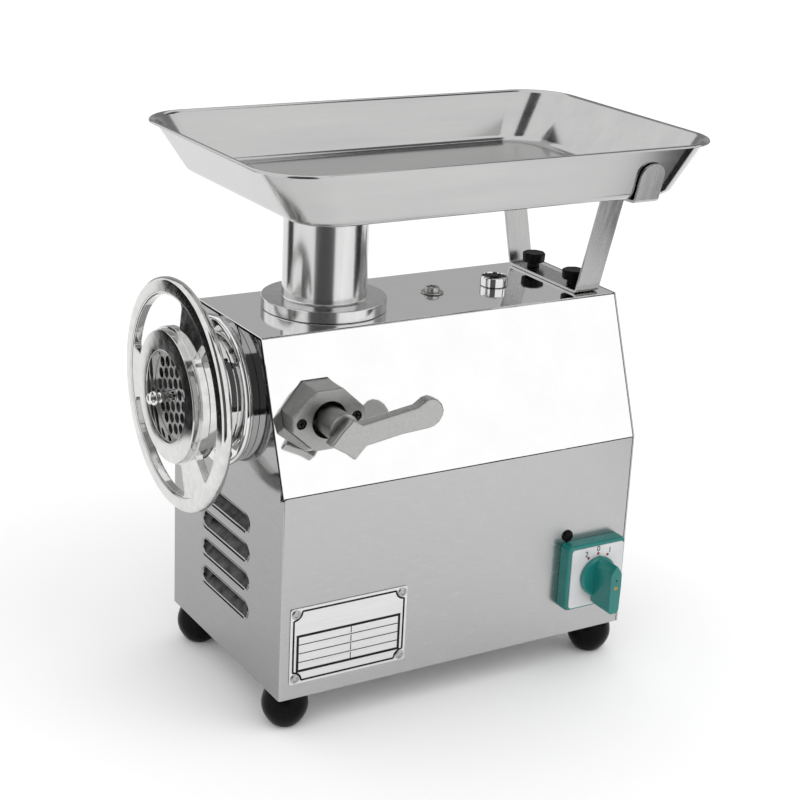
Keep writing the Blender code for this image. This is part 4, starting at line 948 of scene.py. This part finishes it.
def trayBracket():
    lowest, highest = low("tray_bracket"), high("tray_bracket")
    half = bracket["thick"] / 2
    baseZ = lowest.z + half
    floorUnder = low("tray").z
    ledgeZ = floorUnder - clear - half
    lean = tray["sideSlope"] / (high("tray").z - floorUnder)
    tabTop = highest.x - half
    tabX = tabTop - bracket["tab"] * lean
    legX = tabX - bracket["ledge"]
    right = [(bracket["base"] / 2, baseZ), (legX, ledgeZ - 0.001), (tabX, ledgeZ), (tabTop, highest.z - 0.0003)]
    line = [(-x, z) for x, z in reversed(right)] + right
    bm = bmesh.new()
    verts = [bm.verts.new((x, -bracket["width"] / 2, z)) for x, z in line]
    edges = [bm.edges.new(pair) for pair in zip(verts, verts[1:])]
    pulled(bm, edges, (0, bracket["width"], 0))
    bmesh.ops.recalc_face_normals(bm, faces=bm.faces[:])
    tips = [vert for vert in bm.verts if vert.co.z > ledgeZ + 0.01]
    rounded(bm, tips, bracket["width"] * 0.46, 10, "VERTICES")
    folds = [edge for edge in bm.edges if len(edge.link_faces) == 2 and edge.calc_face_angle(0) > 0.2]
    rounded(bm, folds, bracket["bend"], 4)
    bmesh.ops.recalc_face_normals(bm, faces=bm.faces[:])
    bmesh.ops.translate(bm, vec=(0, middle("tray_bracket").y, 0), verts=bm.verts[:])
    upward = [face for face in bm.faces if abs(face.normal.z) > 0.99]
    if sum(face.normal.z * face.calc_area() for face in upward) < 0:
        bmesh.ops.reverse_faces(bm, faces=bm.faces[:])
    for face in bm.faces:
        face.normal_update()
    offset = half
    for vert in bm.verts:
        vert.normal_update()
        vert.co += vert.normal * offset
    bmesh.ops.solidify(bm, geom=bm.faces[:], thickness=bracket["thick"])
    softened(bm, 0.0003, 2, 60)
    piece("trayBracket", bm, strapSteel, "body", ("tray_bracket",))


knob = {"sides": 8, "cap": 0.0113, "capHeight": 0.0085, "chamfer": 0.0016}


def thumbKnobs():
    for name, node, rides in (("thumbKnobRight", "thumb_knob_right", "knob_right"),
                              ("thumbKnobLeft", "thumb_knob_left", "knob_left")):
        lowest, highest, at = low(node), high(node), middle(node)
        capBottom = highest.z - knob["capHeight"]
        bm = bmesh.new()
        bmesh.ops.create_cone(bm, cap_ends=True, segments=knob["sides"], radius1=knob["cap"] * 0.94,
                              radius2=knob["cap"], depth=knob["capHeight"])
        moved(bm, (0, 0, capBottom + knob["capHeight"] / 2))
        sides = edgesAlong(bm, "z", 0.005)
        rounded(bm, sides, 0.0016, 3)
        under = min(bm.faces, key=lambda face: face.calc_center_median().z)
        bmesh.ops.inset_region(bm, faces=[under], thickness=0.0016)
        under = min(bm.faces, key=lambda face: (round(face.calc_center_median().z, 5), -face.calc_area()))
        lowerVerts = pulled(bm, [under], (0, 0, -0.0016))
        bmesh.ops.delete(bm, geom=[under], context="FACES_ONLY")
        bmesh.ops.scale(bm, vec=(0.62, 0.62, 1), verts=lowerVerts)
        foot = [face for face in bm.faces if all(v in lowerVerts for v in face.verts)]
        lowerVerts = pulled(bm, foot, (0, 0, lowest.z - lowerVerts[0].co.z))
        bmesh.ops.delete(bm, geom=foot, context="FACES_ONLY")
        bmesh.ops.scale(bm, vec=(1.12, 1.12, 1), verts=lowerVerts)
        tidyShell(bm)
        rim = [edge for edge in bm.edges if all(v.co.z > highest.z - 1e-5 for v in edge.verts)]
        rounded(bm, rim, knob["chamfer"], 3)
        dish = max(bm.faces, key=lambda face: face.calc_center_median().z * 10 + face.calc_area())
        bmesh.ops.inset_region(bm, faces=[dish], thickness=0.0012, depth=-0.0004)
        moved(bm, (at.x, at.y, 0))
        piece(name, bm, blackPlastic, rides, (node,), smooth=30)


# Switch

switch = {
    "corner": 0.0045, "edge": 0.0032, "dialInset": 0.0022, "disc": 0.0190, "discThick": 0.0050,
    "gripWidth": 0.0120, "above": 0.0200, "below": 0.0270, "digits": (("2", 30), ("0", 0), ("1", -30)),
    "digitReach": 0.0262, "dotReach": 0.0216, "digitSize": 0.0078, "dot": 0.0014,
    "plug": (0.2925, 0.1000),
}


def letters(text, sizes, thickness):
    # a text is made a mesh before it is placed
    curve = bpy.data.curves.new("digit", "FONT")
    curve.body = text
    curve.size = sizes
    curve.extrude = thickness / 2
    curve.align_x = "CENTER"
    curve.align_y = "CENTER"
    holder = bpy.data.objects.new("digit", curve)
    bpy.context.scene.collection.objects.link(holder)
    bm = shapeOf(holder)
    bpy.data.objects.remove(holder)
    bpy.data.curves.remove(curve)
    return tidyShell(bm, 0.000005)


def rotarySwitch():
    lowest, highest = low("switch_body"), high("switch_body")
    at = (lowest + highest) / 2
    side, depth = highest.y - lowest.y, highest.x - lowest.x
    bm = block((depth, side, side), at)
    upright = edgesAlong(bm, "x", 0.001)
    rounded(bm, upright, switch["corner"], 6)
    softened(bm, switch["edge"], 4, 60, lambda edge: min(v.co.x for v in edge.verts) > highest.x - 1e-5)
    piece("switchHousing", bm, tealPlastic, "body", ("switch_body",))

    dialLow, dialHigh = low("dial_plate"), high("dial_plate")
    inset = switch["dialInset"]
    face = block((dialHigh.x - dialLow.x + 0.0003, dialHigh.y - dialLow.y - inset, dialHigh.z - dialLow.z - inset),
                 (dialLow + dialHigh) / 2 - Vector((0.00015, 0, 0)))
    upright = edgesAlong(face, "x", 0.0005)
    rounded(face, upright, 0.0030, 5)
    piece("dialFace", face, dialPrint, "body", ("dial_plate",))

    centre = middle("switch_knob")
    axis = Vector((0, at.y, at.z))
    digits = bmesh.new()
    dots = bmesh.new()
    for text, angle in switch["digits"]:
        turn = math.radians(angle)
        spot = Vector((dialHigh.x + 0.00005, axis.y - math.sin(turn) * switch["digitReach"],
                       axis.z + math.cos(turn) * switch["digitReach"]))
        shape = letters(text, switch["digitSize"], 0.00012)
        bmesh.ops.transform(shape, matrix=Matrix.Translation(spot) @ Matrix.Rotation(math.radians(90), 4, "Z")
                            @ Matrix.Rotation(math.radians(90), 4, "X"), verts=shape.verts[:])
        added(digits, shape)
        spot = (dialHigh.x, axis.y - math.sin(turn) * switch["dotReach"],
                axis.z + math.cos(turn) * switch["dotReach"])
        lathe([(0, 0), (switch["dot"], 0), (switch["dot"], 0.0001), (0, 0.00012)], "X", spot, 24, bm=dots)
    piece("dialDigits", digits, blackInk, "body")
    piece("dialDots", dots, redInk, "body")

    base, outer = low("switch_knob").x, high("switch_knob").x
    disc = lathe([(0, base), (switch["disc"] - 0.0006, base), (switch["disc"], base + 0.0008),
                  (switch["disc"], base + switch["discThick"] - 0.0016),
                  (switch["disc"] - 0.0014, base + switch["discThick"]),
                  (0, base + switch["discThick"] + 0.0006)],
                 "X", (0, axis.y, axis.z), 72)
    wide, above, below = switch["gripWidth"] / 2, switch["above"], switch["below"]
    outline = [(0, above + 0.0010), (-wide * 0.55, above - 0.0030), (-wide, above - 0.0075), (-wide * 1.05, 0),
               (-wide * 0.95, -below + 0.0035), (-wide * 0.55, -below), (wide * 0.55, -below),
               (wide * 0.95, -below + 0.0035), (wide * 1.05, 0), (wide, above - 0.0075),
               (wide * 0.55, above - 0.0030)]
    grip = slab(outline, outer - base - 0.001, "X", ((outer + base + 0.001) / 2, axis.y, axis.z))
    softened(grip, 0.0010, 3, 40)
    bm = carved(disc, [grip], "UNION")
    piece("switchKnob", bm, tealPlastic, "switch", ("switch_knob",))
    screw = lathe([(0, outer - 0.001), (0.0020, outer - 0.001), (0.0020, outer + 0.0001),
                   (0.0015, outer + 0.0003),
                   (0, outer + 0.0003)], "X", (0, axis.y, axis.z - 0.001), 28)
    key = block((0.0012, 0.0005, 0.0040), (outer + 0.0002, axis.y, axis.z - 0.001))
    piece("knobScrew", carved(screw, [key]), brass, "switch")
    dot = lathe([(0, outer - 0.0006), (0.0009, outer - 0.0006), (0.0009, outer + 0.0001), (0, outer + 0.00015)],
                "X", (0, axis.y, axis.z + 0.0065), 20)
    piece("knobDot", dot, blackInk, "switch")
    plug = lathe([(0, 0), (0.0052, 0), (0.0056, 0.0010), (0.0046, 0.0024), (0, 0.0030)], "X",
                 (baseHalf + 0.00002, switch["plug"][0], switch["plug"][1]), 28)
    piece("sidePlug", plug, blackRubber, "body")


# Nameplate

label = {"border": 0.0031, "line": 0.0017, "notch": 0.0080, "tableTop": 0.0262, "tableSide": 0.0072,
         "tableFoot": 0.0120, "rows": 4, "split": 0.52, "ink": 0.00012, "rivet": 0.0042}


def nameplate():
    lowest, highest = low("nameplate"), high("nameplate")
    at = (lowest + highest) / 2
    sheet = block((highest.x - lowest.x, highest.y - lowest.y, highest.z - lowest.z), at)
    upright = edgesAlong(sheet, "x", 0.0005)
    rounded(sheet, upright, 0.0020, 4)
    softened(sheet, 0.0002, 1, 60)
    piece("nameplateSheet", sheet, platePrint, "body", ("nameplate",))
    ink = bmesh.new()
    face = highest.x + label["ink"] / 2

    def stripe(y0, y1, z0, z1):
        added(ink, block((label["ink"], abs(y1 - y0), abs(z1 - z0)), (face, (y0 + y1) / 2, (z0 + z1) / 2)))

    edge, line, notch = label["border"], label["line"], label["notch"]
    y0, y1, z0, z1 = lowest.y + edge, highest.y - edge, lowest.z + edge, highest.z - edge
    for z in (z0, z1):
        stripe(y0 + notch, y1 - notch, z - line / 2, z + line / 2)
    for y in (y0, y1):
        stripe(y - line / 2, y + line / 2, z0 + notch, z1 - notch)
    for cy, sy in ((y0, 1), (y1, -1)):
        for cz, sz in ((z0, 1), (z1, -1)):
            arc = bmesh.new()
            start = [arc.verts.new((0, radius, 0)) for radius in (notch - line / 2, notch + line / 2)]
            stroke = arc.edges.new(start)
            bmesh.ops.spin(arc, geom=[*start, stroke], cent=(0, 0, 0), axis=(1, 0, 0),
                           angle=math.pi / 2, steps=10)
            pulled(arc, arc.faces[:], (label["ink"], 0, 0))
            bmesh.ops.scale(arc, vec=(1, sy, sz), verts=arc.verts[:])
            tidyShell(arc)
            added(ink, moved(arc, (highest.x, cy, cz)))
    t0, t1 = lowest.y + label["tableSide"], highest.y - label["tableSide"]
    b0, b1 = lowest.z + label["tableFoot"], highest.z - label["tableTop"]
    bold = line * 1.35
    for z in (b0, b1):
        stripe(t0 - bold / 2, t1 + bold / 2, z - bold / 2, z + bold / 2)
    for y in (t0, t1):
        stripe(y - bold / 2, y + bold / 2, b0 + bold / 2, b1 - bold / 2)
    thin = line * 0.45
    for row in range(1, label["rows"]):
        z = b0 + (b1 - b0) * row / label["rows"]
        stripe(t0 + bold / 2, t1 - bold / 2, z - thin / 2, z + thin / 2)
    split = t0 + (t1 - t0) * label["split"]
    for row in range(label["rows"]):
        z = b0 + (b1 - b0) * row / label["rows"]
        stripe(split - thin / 2, split + thin / 2, z + bold / 2, z + (b1 - b0) / label["rows"] - bold / 2)
    piece("nameplateLines", ink, blackInk, "body")
    rivets = bmesh.new()
    inset = 0.0052
    for y in (lowest.y + inset, highest.y - inset):
        for z in (lowest.z + inset, highest.z - inset):
            r = label["rivet"]
            lathe([(0, 0.0004), (r * 0.42, 0.0004), (r * 0.55, 0.0012), (r * 0.8, 0.0011), (r, 0.0004),
                   (r, 0), (0, 0)],
                  "X", (highest.x + 0.00002, y, z), 32, bm=rivets)
    piece("nameplateRivets", rivets, plainSteel, "body")


# Feet, top fittings and gland

foot = [(0.0, -0.0003), (0.0172, -0.0003), (0.0188, -0.0045), (0.0200, -0.0090), (0.0205, -0.0135),
        (0.0202, -0.0175),
        (0.0190, -0.0218), (0.0170, -0.0258), (0.0148, -0.0290), (0.0127, -0.0314), (0.0112, -0.0326),
        (0.0098, -0.0330), (0.0, -0.0330)]


def feet():
    for node in ("foot_front_right", "foot_front_left", "foot_rear_right", "foot_rear_left"):
        at = middle(node)
        words = node.split("_")
        name = "foot" + words[1].capitalize() + words[2].capitalize()
        piece(name, lathe(foot, "Z", (at.x, at.y, 0), 56), blackRubber, "body", (node,))


filler = {"radius": 0.0127, "neck": 0.0076, "recess": 0.0024, "wall": 0.0016}


def topFittings():
    at = middle("oil_filler_cap")
    lowest, highest = low("oil_filler_cap").z, high("oil_filler_cap").z
    radius, neck, seat = filler["radius"], filler["neck"], bodyTop + clear
    profile = [
        (0, lowest), (neck, lowest), (neck, seat), (radius - 0.0006, seat), (radius, seat + 0.0006),
        (radius, highest - 0.0016), (radius - 0.0005, highest - 0.0006), (radius - 0.0014, highest),
        (radius - filler["wall"], highest - 0.0003),
        (radius - filler["wall"] - 0.0004, highest - filler["recess"]),
        (0, highest - filler["recess"]),
    ]
    piece("oilFillerCap", lathe(profile, "Z", (at.x, at.y, 0), 64), mirrorSteel, "filler",
          ("oil_filler_cap",))
    well = radius - filler["wall"] - 0.0006
    floorOf = highest - filler["recess"]
    inlay = lathe([(0, floorOf), (well, floorOf), (well, floorOf + 0.0012), (0.0042, floorOf + 0.0012),
                   (0.0036, floorOf + 0.0019), (0, floorOf + 0.0020)], "Z", (at.x, at.y, 0), 48)
    piece("fillerInlay", inlay, blackPlastic, "filler")
    at = middle("top_screw")
    seat, top = low("top_screw").z, high("top_screw").z
    washer, screwHead = 0.0104, 0.0066
    top += 0.0008
    profile = [(0, seat), (washer - 0.0003, seat), (washer, seat + 0.0003), (washer - 0.0004, seat + 0.0010),
               (screwHead + 0.0004, seat + 0.0010), (screwHead, seat + 0.0013), (screwHead, top - 0.0016),
               (screwHead - 0.0007, top - 0.0006), (screwHead * 0.55, top), (0, top)]
    shape = lathe(profile, "Z", (at.x, at.y, 0), 48)
    cross = [block((0.0016, 0.0100, 0.004), (at.x, at.y, top + 0.0006)),
             block((0.0100, 0.0016, 0.004), (at.x, at.y, top + 0.0006))]
    piece("topScrew", carved(shape, cross), plainSteel, "body", ("top_screw",))


glandBore = 0.0031  # no cord runs through it


def cableGland():
    at = middle("cable_gland")
    start, end = low("cable_gland").y, high("cable_gland").y
    outer = bodyLength + clear
    nut = bmesh.new()
    bmesh.ops.create_cone(nut, cap_ends=True, segments=6, radius1=0.0100, radius2=0.0100, depth=0.006)
    turned(nut, 90, "X")
    moved(nut, (at.x, outer + 0.0031, at.z))
    softened(nut, 0.0006, 2, 30)
    dome = lathe([(0, outer + 0.0050), (0.0088, outer + 0.0050), (0.0088, outer + 0.0080),
                  (0.0078, outer + 0.0120), (0.0056, end), (0, end)], "Y", (at.x, 0, at.z), 48)
    neck = rod(0.0068, start, outer + 0.001, "Y", (at.x, 0, at.z), 48)
    through = lathe([(0, start - 0.01), (glandBore, start - 0.01), (glandBore, end - 0.0006),
                     (0.0041, end + 0.0006), (0, end + 0.0006)], "Y", (at.x, 0, at.z), 48)
    bm = carved(carved(nut, [dome, neck], "UNION"), [through])
    piece("cableGland", bm, blackPlastic, "body", ("cable_gland",))


frontWrap()
louvres("frontLouvres", 0, 1)
rearPanel()
louvres("rearLouvres", bodyLength, -1)
upperCover()
print("the body is folded")
clampBoss()
clampLever()
headSeat()
barrelPiece()
handWheel()
perforatedPlate()
centrePin()
print("the head is turned")
feedTube()
trayPan()
trayBracket()
thumbKnobs()
print("tray and bracket are on")
rotarySwitch()
nameplate()
feet()
topFittings()
cableGland()
print("the fittings are on")

# What shows of the frame itself

inside = {
    "base_plate": sideSteel, "contact_block": blackPlastic, "capacitor": motorPaint, "feed_screw": plainSteel,
    "knife": plainSteel, "clamp_stud": plainSteel, "output_shaft": gearSteel, "output_gear": gearSteel,
    "layshaft_pinion": gearSteel, "intermediate_gear": gearSteel, "motor_pinion": gearSteel, "rotor": gearSteel,
    "gearbox_case": castIron, "gearbox_cover": castIron, "motor_front_shield": motorPaint,
    "motor_housing": motorPaint, "motor_rear_shield": motorPaint, "stator": laminations, "motor_fan": blackPlastic,
    "motor_cradle": castIron,
}
for name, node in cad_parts.items():
    if node.hide_render:
        continue
    finish = inside.get(name, gearSteel)
    node.data.materials.clear()
    node.data.materials.append(finish)
print("inner pieces are painted")
